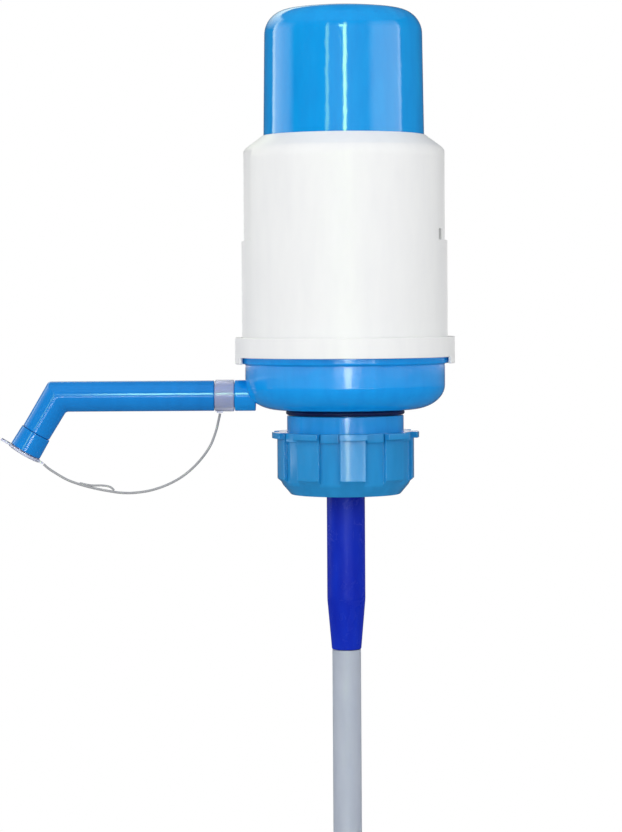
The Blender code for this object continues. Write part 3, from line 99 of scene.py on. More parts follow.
def add_node(tree, kind, settings=None, links=None):
    """Adds a node; settings are its properties or sockets, links are wires into its sockets."""
    made = tree.nodes.new(kind)
    for key, value in (settings or {}).items():
        if isinstance(key, int) or key in made.inputs:
            made.inputs[key].default_value = value
        else:
            setattr(made, key, value)
    for key, source in (links or {}).items():
        tree.links.new(source, made.inputs[key])
    return made


def add_stops(ramp, stops):
    """Fills a colour ramp with (position, colour) stops."""
    elements = ramp.color_ramp.elements
    while len(elements) < len(stops):
        elements.new(1.0)
    for element, (position, shade) in zip(elements, stops):
        element.position = position
        element.color = shade


def mottle(tree, size, place, **settings):
    """A noise pattern with features of this many millimetres, from 0 to 1."""
    settings["Scale"] = 1 / (size * MM)
    return add_node(tree, "ShaderNodeTexNoise", settings, {"Vector": place}).outputs["Fac"]


def remap(tree, value, start, end, low=0.0, high=1.0, **settings):
    """Stretches a value, so that start to end becomes low to high."""
    settings |= {"From Min": start, "From Max": end, "To Min": low, "To Max": high}
    return add_node(tree, "ShaderNodeMapRange", settings, {"Value": value}).outputs[0]


def compute(tree, operation, first, second):
    """One step of arithmetic with two values."""
    wires = {0: first, 1: second}
    return add_node(tree, "ShaderNodeMath", {"operation": operation}, wires).outputs[0]


def new_material(name, bare=False):
    """A new material and its node tree; a bare one has no shader yet."""
    made = bpy.data.materials.new(name)
    made.use_nodes = True
    if bare:
        made.node_tree.nodes.remove(made.node_tree.nodes["Principled BSDF"])
    return made, made.node_tree


# %% [markdown]
# ## Moulded plastic
# Nearly every piece of this pump is injection moulded. Such a skin is never quite even: the
# melt leaves soft streaks of a slightly other tone, the tool leaves a very fine grain, and
# handling adds faint rubs that show as duller places in the gloss. The function below layers
# those three over a plain plastic. They stay subtle, because the photograph shows clean pieces.


# %% Moulded plastic with streaks, rubs and grain
def moulded(name, main, streak, roughness, rub=0.05, grain=0.35, peel=0.01, wave=0.0, shader=None):
    """A moulded plastic: main and streak are its two tones, rub is how much duller it gets."""
    finish, tree = new_material(name)
    place = add_node(tree, "ShaderNodeTexCoord").outputs["Object"]
    # Melt streaks run up the tool, so they are drawn 6 mm wide and five times as tall.
    long = add_node(tree, "ShaderNodeMapping", {"Scale": (1, 1, 0.2)}, {"Vector": place})
    streaks = mottle(tree, 6, long.outputs[0], Detail=3.0, Roughness=0.55)
    tone = add_node(tree, "ShaderNodeValToRGB", {}, {"Fac": streaks})
    add_stops(tone, [(0.3, colour(main)), (0.78, colour(streak))])
    # Rubs from hands and cloth: soft patches of 14 mm, broken up by hair-thin scratches.
    patches = mottle(tree, 14, place, Detail=5.0, Roughness=0.7, Distortion=0.6)
    swept = add_node(
        tree,
        "ShaderNodeMapping",
        {"Scale": (1, 1, 0.06), "Rotation": (0.35, 0.5, 0.2)},
        {"Vector": place},
    )
    scratches = mottle(tree, 0.5, swept.outputs[0], Detail=2.0)
    thin = remap(tree, scratches, 0.66, 0.74, 0.0, rub * 0.6)
    dull = remap(tree, patches, 0.35, 0.75, roughness, roughness + rub)
    gloss = compute(tree, "ADD", dull, thin)
    # The wall sinks a little where the melt shrank: waves 6 mm wide bend the reflections.
    swell = mottle(tree, 6, place, Detail=2.0, Roughness=0.4)
    waves = add_node(
        tree, "ShaderNodeBump", {"Strength": 1.0, "Distance": wave * MM}, {"Height": swell}
    )
    # The tool's grain is finer than a pixel, so it is drawn at the given size to show at all.
    skin = mottle(tree, grain, place, Detail=2.0, Roughness=0.6)
    bump = add_node(
        tree,
        "ShaderNodeBump",
        {"Strength": 0.35, "Distance": peel * MM},
        {"Height": skin, "Normal": waves.outputs[0]},
    )
    plastic = tree.nodes["Principled BSDF"]
    for socket, value in (shader or {}).items():
        plastic.inputs[socket].default_value = value
    tree.links.new(tone.outputs[0], plastic.inputs["Base Color"])
    tree.links.new(gloss, plastic.inputs["Roughness"])
    tree.links.new(bump.outputs[0], plastic.inputs["Normal"])
    finish.diffuse_color = colour(main)
    return finish


# %% [markdown]
# ## The pump's plastics
# - Neck: the same ABS in a lighter blue, which is painted light against the shade under the bowl.
# - Cap, bowl and neck: glossy ABS, a bright blue. Its gloss shows as crisp upright reflections.
# - Spout: the same plastic in a slightly deeper shade.
# - Collar: polypropylene, a softer teal blue with a satin skin.
# - Barrel and base ring: satin white ABS.
# - Riser sleeve: deep blue polypropylene, slightly frosted.
# - Seals: dull navy rubber where one shows below the bowl, grey silicone inside.

# %% Plastics of the pump
BLUE_ABS = moulded("glossy blue ABS", "#059eea", "#0492e1", 0.05, wave=0.07)
BOWL_ABS = moulded("glossy blue ABS of the bowl", "#109df0", "#0c91e7", 0.07, wave=0.02)
# The neck's lighter blue is painted light: it offsets the shade that the bowl casts on the neck.
NECK_ABS_PAINTED_LIGHTER = moulded("blue ABS of the neck", "#1aa6f2", "#1599e4", 0.07, wave=0.02)
SPOUT_ABS = moulded("glossy blue ABS of the spout", "#0f85d8", "#0c7cce", 0.07, wave=0.015)
TEAL_PP = moulded(
    "satin teal polypropylene", "#2391d2", "#1c85c4", 0.1, rub=0.07, grain=0.45, wave=0.03
)
WHITE_ABS = moulded(
    "satin white ABS",
    "#f1f2f2",
    "#edeeef",
    0.3,
    rub=0.1,
    grain=0.5,
    peel=0.02,
    shader={"Specular IOR Level": 0.2},
)
INNER_WHITE = moulded("white ABS of the inner plates", "#e9eaea", "#dfe0e0", 0.38, rub=0.1)
DEEP_BLUE_PP = moulded(
    "deep blue polypropylene",
    "#0221ac",
    "#0a30be",
    0.2,
    rub=0.14,
    grain=0.9,
    peel=0.03,
    wave=0.03,
    shader={"Specular IOR Level": 0.18},
)
NAVY_RUBBER = moulded(
    "navy rubber",
    "#011a52",
    "#011444",
    0.4,
    rub=0.15,
    peel=0.03,
    shader={"Specular IOR Level": 0.3},
)
GREY_RUBBER = moulded("grey silicone rubber", "#9c9da0", "#8f9093", 0.52, rub=0.12, peel=0.03)
print("moulded finishes:", len(bpy.data.materials))

# %% [markdown]
# ## Clear and milky plastics
# The strap ring and the stopper are soft clear PVC with a lavender cast; light goes through
# them, so the spout's blue shows inside. The leash is the same PVC drawn thin, where it looks
# grey. The dip tubes are polyethylene, which scatters light and looks like thin milk.

# %% Clear PVC and milky polyethylene
CLEAR_PVC = moulded(
    "clear PVC",
    "#eaeeff",
    "#dfe4fb",
    0.06,
    grain=0.6,
    shader={"Transmission Weight": 0.68, "IOR": 1.45},
)
LEASH_PVC = moulded(
    "grey PVC of the leash", "#a9aaad", "#9fa0a3", 0.35, shader={"Specular IOR Level": 0.15}
)
MILKY_PE = moulded(
    "milky polyethylene",
    "#d3dbe8",
    "#c6cfdf",
    0.3,
    rub=0.12,
    grain=0.6,
    shader={"Transmission Weight": 0.35, "IOR": 1.51},
)
print("materials:", len(bpy.data.materials))

# %% [markdown]
# ## Turning a piece
# A moulded tube or shell is drawn the way a turner would: half its cross-section, as radius
# and height, is spun about the pump's axis. A corner may carry a fillet, and a vertex bevel on
# the drawing rounds it before the spin. That gives real rounded edges, which catch the light.


# %% Round edges, draw and spin
def soften(shape, sharp, size, segments=3, affect="EDGES"):
    """Rounds some edges of a shape, or corners of a drawing, over this many millimetres."""
    bmesh.ops.bevel(
        shape,
        geom=list(sharp),
        offset=size * MM,
        offset_type="OFFSET",
        segments=segments,
        profile=0.5,
        affect=affect,
        clamp_overlap=affect == "EDGES",
        material=-1,
    )


def drawing(corners, segments=4):
    """Half a cross-section as a wire, from (radius, height, fillet) corners in millimetres."""
    wire = bmesh.new()
    points = [wire.verts.new((c[0] * MM, 0, c[1] * MM)) for c in corners]
    for here, after in zip(points, points[1:] + points[:1]):
        if abs(here.co.x) + abs(after.co.x) > 0:
            wire.edges.new((here, after))
    fillets = [c[2] if len(c) > 2 else 0 for c in corners]
    for size in sorted(set(fillets) - {0}):
        rounded = [p for p, fillet in zip(points, fillets) if fillet == size]
        soften(wire, rounded, size, segments, affect="VERTICES")
    return wire


def turned(corners, steps=180, segments=4):
    """A closed shape spun about the Z axis from half its cross-section."""
    shape = drawing(corners, segments)
    bmesh.ops.spin(
        shape,
        geom=shape.verts[:] + shape.edges[:],
        cent=(0, 0, 0),
        axis=(0, 0, 1),
        angle=math.tau,
        steps=steps,
        use_merge=True,
    )
    bmesh.ops.remove_doubles(shape, verts=shape.verts, dist=MM / 10000)
    bmesh.ops.recalc_face_normals(shape, faces=shape.faces)
    return shape


# %% Hand a piece to the frame
SHARP_ANGLE = 40  # faces that meet at more than this stay crisp


def finished(name, shape, finish, body, nodes=(), weighted=True):
    """Turns a bmesh into a piece of the pump that rides on a body and stands for CAD nodes."""
    bmesh.ops.recalc_face_normals(shape, faces=shape.faces)
    mesh = bpy.data.meshes.new(name)
    shape.to_mesh(mesh)
    shape.free()
    mesh.shade_smooth()
    mesh.set_sharp_from_angle(angle=math.radians(SHARP_ANGLE))
    mesh.materials.append(finish)
    piece = bpy.data.objects.new(name, mesh)
    scene.collection.objects.link(piece)
    if body:
        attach(piece, body)
    if nodes:
        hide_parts(*nodes)
    if weighted:
        piece.modifiers.new("large faces lead the shading", "WEIGHTED_NORMAL").keep_sharp = True
    size = piece.dimensions / MM
    print(f"{name}: {len(mesh.polygons)} faces, {size.x:.1f} x {size.y:.1f} x {size.z:.1f} mm")
    return piece


# %% Directions and sharp edges
def degrees_round(point, middle):
    """How far a point lies from a direction about the Z axis, in degrees."""
    turn = math.degrees(math.atan2(point.y, point.x)) - middle
    return (turn + 180) % 360 - 180


def sharp_edges(shape, least=30):
    """Edges where two faces meet at more than this many degrees."""
    return [e for e in shape.edges if e.is_manifold and e.calc_face_angle() > math.radians(least)]


# %% [markdown]
# ## The leash
# A thin PVC strand keeps the stopper on the strap ring, and hangs below the spout in a slack
# bow. It is a mesh tube rather than a curve object: a small circle is extruded from point to
# point along the same route as the imported solid.

# %% Route of the leash
SPOUT_HEIGHT = 24.8
LEASH_RADIUS, TAIL_RADIUS = 0.6, 0.5
LEASH_PLACES = (
    (-145.2, -7.7),
    (-142.7, -9.9),
    (-138.4, -12.7),
    (-133.4, -15.5),
    (-127.0, -17.8),
    (-120.6, -19.5),
    (-114.1, -20.8),
    (-107.8, -21.7),
    (-101.4, -21.7),
    (-93.4, -20.5),
    (-85.3, -17.7),
    (-77.7, -13.4),
    (-70.9, -7.3),
    (-65.4, 0.0),
    (-62.4, 7.2),
    (-61.1, 12.2),
    (-60.2, 16.2),
)


def smooth_route(places, per_span=6):
    """Points in metres along a smooth curve through places given in millimetres."""
    places = [Vector(p) * MM for p in places]
    ends = [places[0] * 2 - places[1]] + places + [places[-1] * 2 - places[-2]]
    route = []
    for before, start, end, after in zip(ends, ends[1:], ends[2:], ends[3:]):
        for i in range(per_span):
            t = i / per_span
            bend = (before * 2 - start * 5 + end * 4 - after) * t**2
            twist = (start * 3 - before - end * 3 + after) * t**3
            route.append((start * 2 + (end - before) * t + bend + twist) / 2)
    return route + [places[-1]]


def next_ring(shape, edges, ring):
    """Extrudes a ring of edges; its new vertices come in the order of the old ring's."""
    grown = bmesh.ops.extrude_edge_only(shape, edges=edges)["geom"]
    edges = [g for g in grown if isinstance(g, bmesh.types.BMEdge) and g.is_boundary]
    fresh = [g for g in grown if isinstance(g, bmesh.types.BMVert)]
    return edges, [min(fresh, key=lambda v: (v.co - old.co).length_squared) for old in ring]


def tube_along(route, radius, sides=16):
    """A round rod along a route: one circle is extruded from each point to the next."""
    rod = bmesh.new()
    made = bmesh.ops.create_circle(rod, cap_ends=False, segments=sides, radius=radius * MM)
    circle = [v.co.copy() for v in made["verts"]]
    ring = made["verts"]
    edges = rod.edges[:]
    before = Vector((0, 0, 1))
    lie = Matrix.Identity(3)
    for i, place in enumerate(route):
        along = (route[min(i + 1, len(route) - 1)] - route[max(i - 1, 0)]).normalized()
        lie = before.rotation_difference(along).to_matrix() @ lie
        before = along
        if i:
            edges, ring = next_ring(rod, edges, ring)
        for vert, offset in zip(ring, circle):
            vert.co = place + lie @ offset
    bmesh.ops.holes_fill(rod, edges=[e for e in rod.edges if e.is_boundary], sides=0)
    return rod


leash_route = [Vector((p.x, 0, p.y)) for p in smooth_route(LEASH_PLACES)][::-1]
strand = tube_along(leash_route, LEASH_RADIUS)
leash = finished("leash_strand", strand, LEASH_PVC, None, ["leash"], weighted=False)
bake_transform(leash)

# %% [markdown]
# Where the leash is tied off, the strand doubles back for nearly two centimetres and ends in a
# flat bend. In the photograph it lies just above the lowest part of the bow, so it is drawn as
# a second, thinner strand along it.

# %% Tail of the leash
TAIL_PLACES = ((-128, -16.9), (-122.5, -18), (-117, -18.1), (-113.4, -18.8), (-111.4, -20.5))
tail_route = [Vector((p.x, 0, p.y)) for p in smooth_route(TAIL_PLACES)]
tail = tube_along(tail_route, TAIL_RADIUS)
tail = finished("leash_tail", tail, LEASH_PVC, None, (), weighted=False)
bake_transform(tail)

# %% [markdown]
# ## The collar
# The collar is the nut that grips the jug's neck. It has nine raised panels for the fingers.
# Each ends at the top in a lip, and low ledges fill the spaces between the lips. The plain
# nut is spun in steps of one degree, so panels and ledges can be picked by their angle and
# extruded outwards. A bevel over all sharp edges gives them the small radius of a moulding.

# %% Spin the nut
PANELS = 9
PANEL_MIDDLE = -84.4
HALF_PANEL, HALF_LEDGE = 11, 8  # degrees
WALL, PANEL_FACE, LEDGE_FACE, LIP_FACE = 31.0, 32.9, 32.2, 35.4
COLLAR_BORE, CLAW_RADIUS = 29.5, 24.6
COLLAR_TOP, LIP_FOOT, LEDGE_FOOT, PANEL_FOOT, WALL_FOOT = 7.3, 4.4, 3.1, -14.9, -16.5
collar = turned(
    [
        (WALL, COLLAR_TOP),
        (28.3, COLLAR_TOP),
        (28.3, 5.1),
        (COLLAR_BORE, 5.1),
        (COLLAR_BORE, -15.5),
        (CLAW_RADIUS, -20.5),
        (CLAW_RADIUS, -22.7),
        (26.3, -22.7),
        (30.2, -18.1),
        (WALL, WALL_FOOT),
        (WALL, LEDGE_FOOT),
        (WALL, LIP_FOOT),
    ],
    steps=360,
)
print("nut:", len(collar.faces), "faces")


# %% Pick and lift faces
def faces_round(shape, middle, half, fits):
    """Faces within an angle of a direction about the Z axis that also pass a test."""
    chosen = []
    for face in shape.faces:
        spot = face.calc_center_median()
        if abs(degrees_round(spot, middle)) < half and fits(face, spot):
            chosen.append(face)
    return chosen


def lift(shape, chosen):
    """Extrudes faces where they are and drops the old ones; gives the new vertices."""
    grown = bmesh.ops.extrude_face_region(shape, geom=chosen)["geom"]
    bmesh.ops.delete(shape, geom=chosen, context="FACES_ONLY")
    return [g for g in grown if isinstance(g, bmesh.types.BMVert)]


def set_radius(vert, radius):
    """Moves a vertex level in or out, to this many millimetres from the Z axis."""
    factor = radius * MM / math.hypot(vert.co.x, vert.co.y)
    vert.co.x *= factor
    vert.co.y *= factor


# %% Raise panels, lips and ledges
def raise_wall(radius, low, middle, half, new_radius):
    """Raises the collar's wall above a height and within an angle to a new radius."""

    def on_wall(face, spot):
        near = abs(math.hypot(spot.x, spot.y) - radius * MM) <= 0.05 * MM
        return near and abs(face.normal.z) < 0.5 and spot.z >= low * MM

    raised = lift(collar, faces_round(collar, middle, half, on_wall))
    for vert in raised:
        set_radius(vert, new_radius)
    return raised


collar.normal_update()
step = 360 / PANELS
for i in range(PANELS):
    for vert in raise_wall(WALL, WALL_FOOT, step * i, HALF_PANEL, PANEL_FACE):
        if vert.co.z < (WALL_FOOT + 0.5) * MM:
            vert.co.z = PANEL_FOOT * MM
    collar.normal_update()
    raise_wall(PANEL_FACE, LIP_FOOT, step * i, HALF_PANEL, LIP_FACE)
    raise_wall(WALL, LEDGE_FOOT, step * (i + 0.5), HALF_LEDGE, LEDGE_FACE)
bmesh.ops.rotate(
    collar,
    cent=(0, 0, 0),
    matrix=Matrix.Rotation(math.radians(PANEL_MIDDLE), 3, "Z"),
    verts=collar.verts,
)
bmesh.ops.recalc_face_normals(collar, faces=collar.faces)
soften(collar, sharp_edges(collar), 0.24)
finished("collar_nut", collar, TEAL_PP, "collar", ["collar"])

# %% [markdown]
# ## Neck, neck seal and bottle gasket
# The neck is the blue tube that the collar turns on. A dark seal ring sits on its shoulder,
# and a grey gasket below its flange closes the jug's rim. All three are plain turnings.

# %% Neck and seals
neck = turned(
    [
        (22.5, 2.3, 0.3),
        (29.2, 2.3, 0.3),
        (29.2, 4.8),
        (28.0, 4.8),
        (28.0, 15.2, 0.4),
        (24.9, 15.2),
        (24.9, 23.4, 0.4),
        (22.5, 23.4, 0.4),
    ]
)
# The neck's material is lighter than the cap's: painted light against the bowl's shade.
finished("neck_tube", neck, NECK_ABS_PAINTED_LIGHTER, "pump_body", ["neck"])
seal = turned([(25.2, 15.5), (28.5, 15.5, 0.9), (28.5, 17.6, 0.9), (25.2, 17.6)], segments=6)
finished("neck_seal_ring", seal, NAVY_RUBBER, "pump_body", ["neck_seal"])
gasket = turned([(21.5, 0, 0.3), (29.2, 0, 0.3), (29.2, 2.0, 0.3), (21.5, 2.0, 0.3)])
finished("bottle_gasket_ring", gasket, GREY_RUBBER, "pump_body", ["bottle_gasket"])

# %% [markdown]
# ## The bowl
# The bowl closes the pump below. Its floor is level round the neck, then curves up to an upright
# side, ends in a rim, and carries the socket for the spout. The curve is an ellipse quarter,
# spun; the socket is a short tube that runs into the side.


# %% Spin the bowl
BOWL_FLOOR, FLAT_RADIUS, NECK_HOLE, BOWL_WALL = 17.9, 31.7, 25.2, 2.4
DISH_WIDTH, DISH_HEIGHT = 16.2, 11.6


def dish(inset, steps=20):
    """The bowl's floor from the neck hole to its side, moved inwards by the inset."""
    across, tall, floor_height = DISH_WIDTH - inset, DISH_HEIGHT - inset, BOWL_FLOOR + inset
    curve = [(NECK_HOLE, floor_height)]
    for i in range(steps + 1):
        turn = math.pi / 2 * i / steps
        height = floor_height + tall * (1 - math.cos(turn))
        curve.append((FLAT_RADIUS + across * math.sin(turn), height))
    return curve


bowl = turned(
    dish(0)
    + [(47.9, 40.0, 0.6), (50.1, 40.0, 0.9), (50.1, 43.1, 0.2), (50.9, 43.1), (50.9, 47.7, 0.3)]
    + [(47.5, 47.7, 0.3), (47.5, 41.0), (45.5, 41.0)]
    + dish(BOWL_WALL)[::-1],
    steps=240,
)
lay_down = Matrix.Rotation(-math.pi / 2, 4, "Y")
along_minus_x = Matrix.Translation((0, 0, SPOUT_HEIGHT * MM)) @ lay_down
socket = turned([(6.1, 43.0), (6.1, 53.0, 0.3), (7.4, 53.0, 0.4), (7.4, 43.0, 0.5)], steps=96)
bmesh.ops.transform(socket, matrix=along_minus_x, verts=socket.verts)
print("bowl:", len(bowl.faces), "faces; socket:", len(socket.faces), "faces")


# %% Put the socket on the bowl
def merged(shapes):
    """One bmesh that holds several closed shapes, which may run into each other."""
    whole = bmesh.new()
    for shape in shapes:
        bmesh.ops.recalc_face_normals(shape, faces=shape.faces)
        carrier = bpy.data.meshes.new("carrier")
        shape.to_mesh(carrier)
        shape.free()
        whole.from_mesh(carrier)
        bpy.data.meshes.remove(carrier)
    return whole


finished("bowl_shell", merged([bowl, socket]), BOWL_ABS, "pump_body", ["bowl"])

# %% [markdown]
# ## Base ring
# A white ring clamps the barrel's flange on the bowl. On each side its lower edge drops into a
# tab for the fingers. The ring is spun, the two arcs of its lower face are extruded down, and
# its edges are rounded.

# %% Base ring with its two tabs
RING_FOOT, RING_TOP, HALF_TAB, TAB_DROP = 43.1, 52.7, 18, 3.2
ring = turned(
    [
        (51.2, RING_FOOT),
        (52.7, RING_FOOT),
        (52.7, RING_TOP),
        (49.6, RING_TOP),
        (49.6, 51.1),
        (51.2, 51.1),
    ],
    steps=240,
)
ring.normal_update()


def at_foot(face, spot):
    """Whether a face belongs to the ring's lower end."""
    return spot.z < (RING_FOOT + 0.1) * MM


for middle in (0, 180):
    lowered = lift(ring, faces_round(ring, middle, HALF_TAB, at_foot))
    bmesh.ops.translate(ring, vec=(0, 0, -TAB_DROP * MM), verts=lowered)
bmesh.ops.recalc_face_normals(ring, faces=ring.faces)
soften(ring, sharp_edges(ring), 0.45, segments=4)
finished("base_ring_clamp", ring, WHITE_ABS, "pump_body", ["base_ring"])

# %% [markdown]
# ## Barrel
# The barrel is a tall white sleeve with a sloping shoulder. On each side its upper half is cut
# back by 1.2 mm, and a small window looks through the wall at the foot of that recess.
# It is spun in one-degree steps; the recess faces are picked and moved in, the window's faces
# are taken out of both walls, and the two holes are bridged.

# %% Spin the barrel
BARREL_FOOT, BARREL_TOP = 49.3, 149.0
BARREL_RADIUS, BARREL_BORE, MOUTH_RADIUS = 49.3, 46.3, 38.8
RECESS_RADIUS, RECESS_FOOT, WINDOW_TOP = 48.1, 98.6, 103.9
HALF_RECESS, WINDOW_OFFSET, HALF_WINDOW = 26, 20.5, 3.5  # degrees
SLOPE = math.radians(36.5)


def shoulder(radius, drop=0.0):
    """Height of the barrel's sloping shoulder at a radius."""
    return BARREL_TOP - (radius - MOUTH_RADIUS) * math.tan(SLOPE) - drop


INNER_DROP = 2.2 / math.cos(SLOPE)
barrel = turned(
    [
        (BARREL_BORE, BARREL_FOOT),
        (50.9, BARREL_FOOT),
        (50.9, 50.8),
        (BARREL_RADIUS, 50.8),
        (BARREL_RADIUS, RECESS_FOOT),
        (BARREL_RADIUS, WINDOW_TOP),
        (BARREL_RADIUS, shoulder(BARREL_RADIUS), 3.6),
        (MOUTH_RADIUS, BARREL_TOP, 0.5),
        (MOUTH_RADIUS, shoulder(MOUTH_RADIUS, INNER_DROP)),
        (BARREL_BORE, shoulder(BARREL_BORE, INNER_DROP), 1.0),
        (BARREL_BORE, WINDOW_TOP),
        (BARREL_BORE, RECESS_FOOT),
    ],
    steps=360,
    segments=8,
)
barrel.normal_update()
print("barrel:", len(barrel.faces), "faces")


# %% Cut back the recesses and open the windows
def sticks_out(vert):
    """Whether a vertex lies outside the recess's radius."""
    return math.hypot(vert.co.x, vert.co.y) > RECESS_RADIUS * MM


def in_recess(face, spot):
    """Whether a face belongs to the outside of the barrel's upper half."""
    outwards = face.normal.x * spot.x + face.normal.y * spot.y > 0
    between = RECESS_FOOT * MM < spot.z < (BARREL_TOP - 0.1) * MM
    return outwards and between and any(sticks_out(vert) for vert in face.verts)


def in_window(face, spot):
    """Whether a face of either wall is at the window's height."""
    return RECESS_FOOT * MM < spot.z < WINDOW_TOP * MM and abs(face.normal.z) < 0.5


for middle in (0, 180):
    for vert in lift(barrel, faces_round(barrel, middle, HALF_RECESS, in_recess)):
        if sticks_out(vert):
            set_radius(vert, RECESS_RADIUS)
    bmesh.ops.remove_doubles(barrel, verts=barrel.verts, dist=MM / 10000)
    barrel.normal_update()
    hole = faces_round(barrel, middle - WINDOW_OFFSET, HALF_WINDOW, in_window)
    bmesh.ops.delete(barrel, geom=hole, context="FACES")
    rims = [e for e in barrel.edges if e.is_boundary]
    bmesh.ops.bridge_loops(barrel, edges=rims)
bmesh.ops.recalc_face_normals(barrel, faces=barrel.faces)
below_mouth = (BARREL_TOP - 1) * MM
soften(barrel, [e for e in sharp_edges(barrel, 35) if e.verts[0].co.z < below_mouth], 0.3)
finished("barrel_sleeve", barrel, WHITE_ABS, "pump_body", ["barrel"])

# %% [markdown]
# ## Press cap
# The cap is a tall blue cup, upside down, with a guide hoop at its foot. Its top is a very flat
# dome, joined to the upright side by a generous corner. The inside follows it at the wall's
# thickness, so the piece is a real shell. Four ribs inside push the top plate down.


# %% Spin the cap
CAP_SIDE, CAP_CORNER, CAP_DOME, CAP_APEX = 37.7, 11.8, 200.0, 210.5


def crown(inset, steps=14):
    """Corner arc and crown of the cap, from its side up to the axis, moved in by the inset."""
    corner, dome, apex = CAP_CORNER - inset, CAP_DOME - inset, CAP_APEX - inset
    lean = math.asin((CAP_SIDE - CAP_CORNER) / (CAP_DOME - CAP_CORNER))
    centre = apex - dome + (CAP_DOME - CAP_CORNER) * math.cos(lean)
    last = math.pi / 2 - lean
    across = CAP_SIDE - CAP_CORNER
    points = []
    for i in range(steps + 1):
        turn = last * i / steps
        points.append((across + corner * math.cos(turn), centre + corner * math.sin(turn)))
    for i in range(1, steps + 1):
        turn = last + lean * i / steps
        points.append((dome * math.cos(turn), apex - dome + dome * math.sin(turn)))
    points[-1] = (0, apex)
    return points


CAP_WALL = 2.2
CAP_RIBS, RIB_SIZE, RIB_RADIUS, RIB_MIDDLE = 4, (11.5, 2.0, 50.0), 30.4, 167.3
cap = turned(
    crown(CAP_WALL)[::-1]
    + [(35.65, 138.1), (44.1, 138.1), (44.1, 127.2, 0.5), (45.9, 127.2, 0.5), (45.9, 140.7, 0.5)]
    + [(38.4, 140.7), (38.4, 149.0)]
    + crown(0),
    steps=240,
)
ribs = []
for i in range(CAP_RIBS):
    rib = bmesh.new()
    bmesh.ops.create_cube(rib, size=MM)
    bmesh.ops.scale(rib, vec=RIB_SIZE, verts=rib.verts)
    bmesh.ops.translate(rib, vec=(RIB_RADIUS * MM, 0, RIB_MIDDLE * MM), verts=rib.verts)
    turn = Matrix.Rotation(math.tau / CAP_RIBS * (i + 0.5), 3, "Z")
    bmesh.ops.rotate(rib, cent=(0, 0, 0), matrix=turn, verts=rib.verts)
    ribs.append(rib)
finished("press_cap_dome", merged([cap] + ribs), BLUE_ABS, "plunger", ["press_cap"])

# %% [markdown]
# ## Spout
# The spout is a bent tube: a spigot that enters the socket, a straight run, a mitred elbow and
# a short arm. A circle is extruded from station to station, with the ring at the elbow set in
# the mitre plane; a bevel there takes the hard line off, as the tool's radius does.

# %% Stations of the spout
ELBOW = Vector((-138.3, 0, SPOUT_HEIGHT)) * MM
TILT = math.radians(31)
ARM = Vector((-math.sin(TILT), 0, -math.cos(TILT)))
RUN = Vector((-1, 0, 0))
MITRE = (RUN + ARM).normalized()
SPOUT_SIDES = 64
SPOUT_RADIUS, SPOUT_BORE = 7.3, 5.4
SPIGOT_RADIUS, SPIGOT_BORE, SEAL_GROOVE, END_RADIUS = 5.8, 3.4, 4.6, 6.2


def spout_ring(place, along, radius, mitre=None):
    """Points round the spout's middle, slid onto the mitre plane where there is one."""
    across = Vector((0, 1, 0))
    up = along.cross(across).normalized()
    points = []
    for i in range(SPOUT_SIDES):
        turn = math.tau * i / SPOUT_SIDES
        offset = (across * math.cos(turn) + up * math.sin(turn)) * radius * MM
        if mitre:
            offset -= along * (offset.dot(mitre) / along.dot(mitre))
        points.append(place + offset)
    return points


def on_run(x, radius):
    """A ring on the level run, this far from the pump's axis."""
    return spout_ring(Vector((-x, 0, SPOUT_HEIGHT)) * MM, RUN, radius)


def on_arm(distance, radius):
    """A ring on the arm, this far from the elbow."""
    return spout_ring(ELBOW + ARM * distance * MM, ARM, radius)


stations = [
    on_run(45.2, SPIGOT_RADIUS),
    on_run(47.4, SPIGOT_RADIUS),
    on_run(47.4, SEAL_GROOVE),
    on_run(49.4, SEAL_GROOVE),
    on_run(49.4, SPIGOT_RADIUS),
    on_run(62.9, SPIGOT_RADIUS),
    on_run(62.9, SPOUT_RADIUS),
    spout_ring(ELBOW, RUN, SPOUT_RADIUS, MITRE),
    on_arm(19.9, 7.1),
    on_arm(19.9, END_RADIUS),
    on_arm(28.4, END_RADIUS),
    on_arm(28.4, SPOUT_BORE),
    spout_ring(ELBOW, RUN, SPOUT_BORE, MITRE),
    on_run(65.3, SPOUT_BORE),
    on_run(62.9, SPIGOT_BORE),
    on_run(45.2, SPIGOT_BORE),
]
ROOT, OUTER_ELBOW, ARM_END = 6, 7, 8  # places in that list
print("stations of the spout:", len(stations))

# %% Extrude the spout through its stations
spout = bmesh.new()
ring_verts = [spout.verts.new(point) for point in stations[0]]
edges = [spout.edges.new(pair) for pair in zip(ring_verts, ring_verts[1:] + ring_verts[:1])]
rings = [ring_verts]
for points in stations[1:]:
    edges, ring_verts = next_ring(spout, edges, rings[-1])
    for vert, point in zip(ring_verts, points):
        vert.co = point
    rings.append(ring_verts)
bmesh.ops.bridge_loops(spout, edges=[e for e in spout.edges if e.is_boundary])
bmesh.ops.recalc_face_normals(spout, faces=spout.faces)


def ring_edges(verts):
    """Edges that run round one ring of the spout."""
    chosen = set(verts)
    return [e for v in verts for e in v.link_edges if e.other_vert(v) in chosen]


soften(spout, set(ring_edges(rings[OUTER_ELBOW])), 1.1, segments=4)
soften(spout, set(ring_edges(rings[ROOT]) + ring_edges(rings[ARM_END])), 0.3)
finished("spout_pipe", spout, SPOUT_ABS, "spout", ["spout_tube"])

# %% [markdown]
# ## Tip sleeve, strap ring and stopper
# These three are small turnings. They are drawn upright and then laid on the spout's run or on
# its arm by one matrix. The strap ring and the stopper each have a lug for the leash, and the
# stopper also has a tab to pull it by.

# %% Tip sleeve
on_the_arm = Matrix.Translation(ELBOW) @ Matrix.Rotation(math.pi + TILT, 4, "Y")
tip = turned(
    [(6.5, 20.2), (7.5, 20.2, 0.3), (7.8, 30.2, 0.5), (5.4, 30.2, 0.3), (5.4, 28.7), (6.5, 28.7)],
    steps=96,
)
bmesh.ops.transform(tip, matrix=on_the_arm, verts=tip.verts)
finished("spout_tip_sleeve", tip, SPOUT_ABS, "spout", ["spout_tip"])


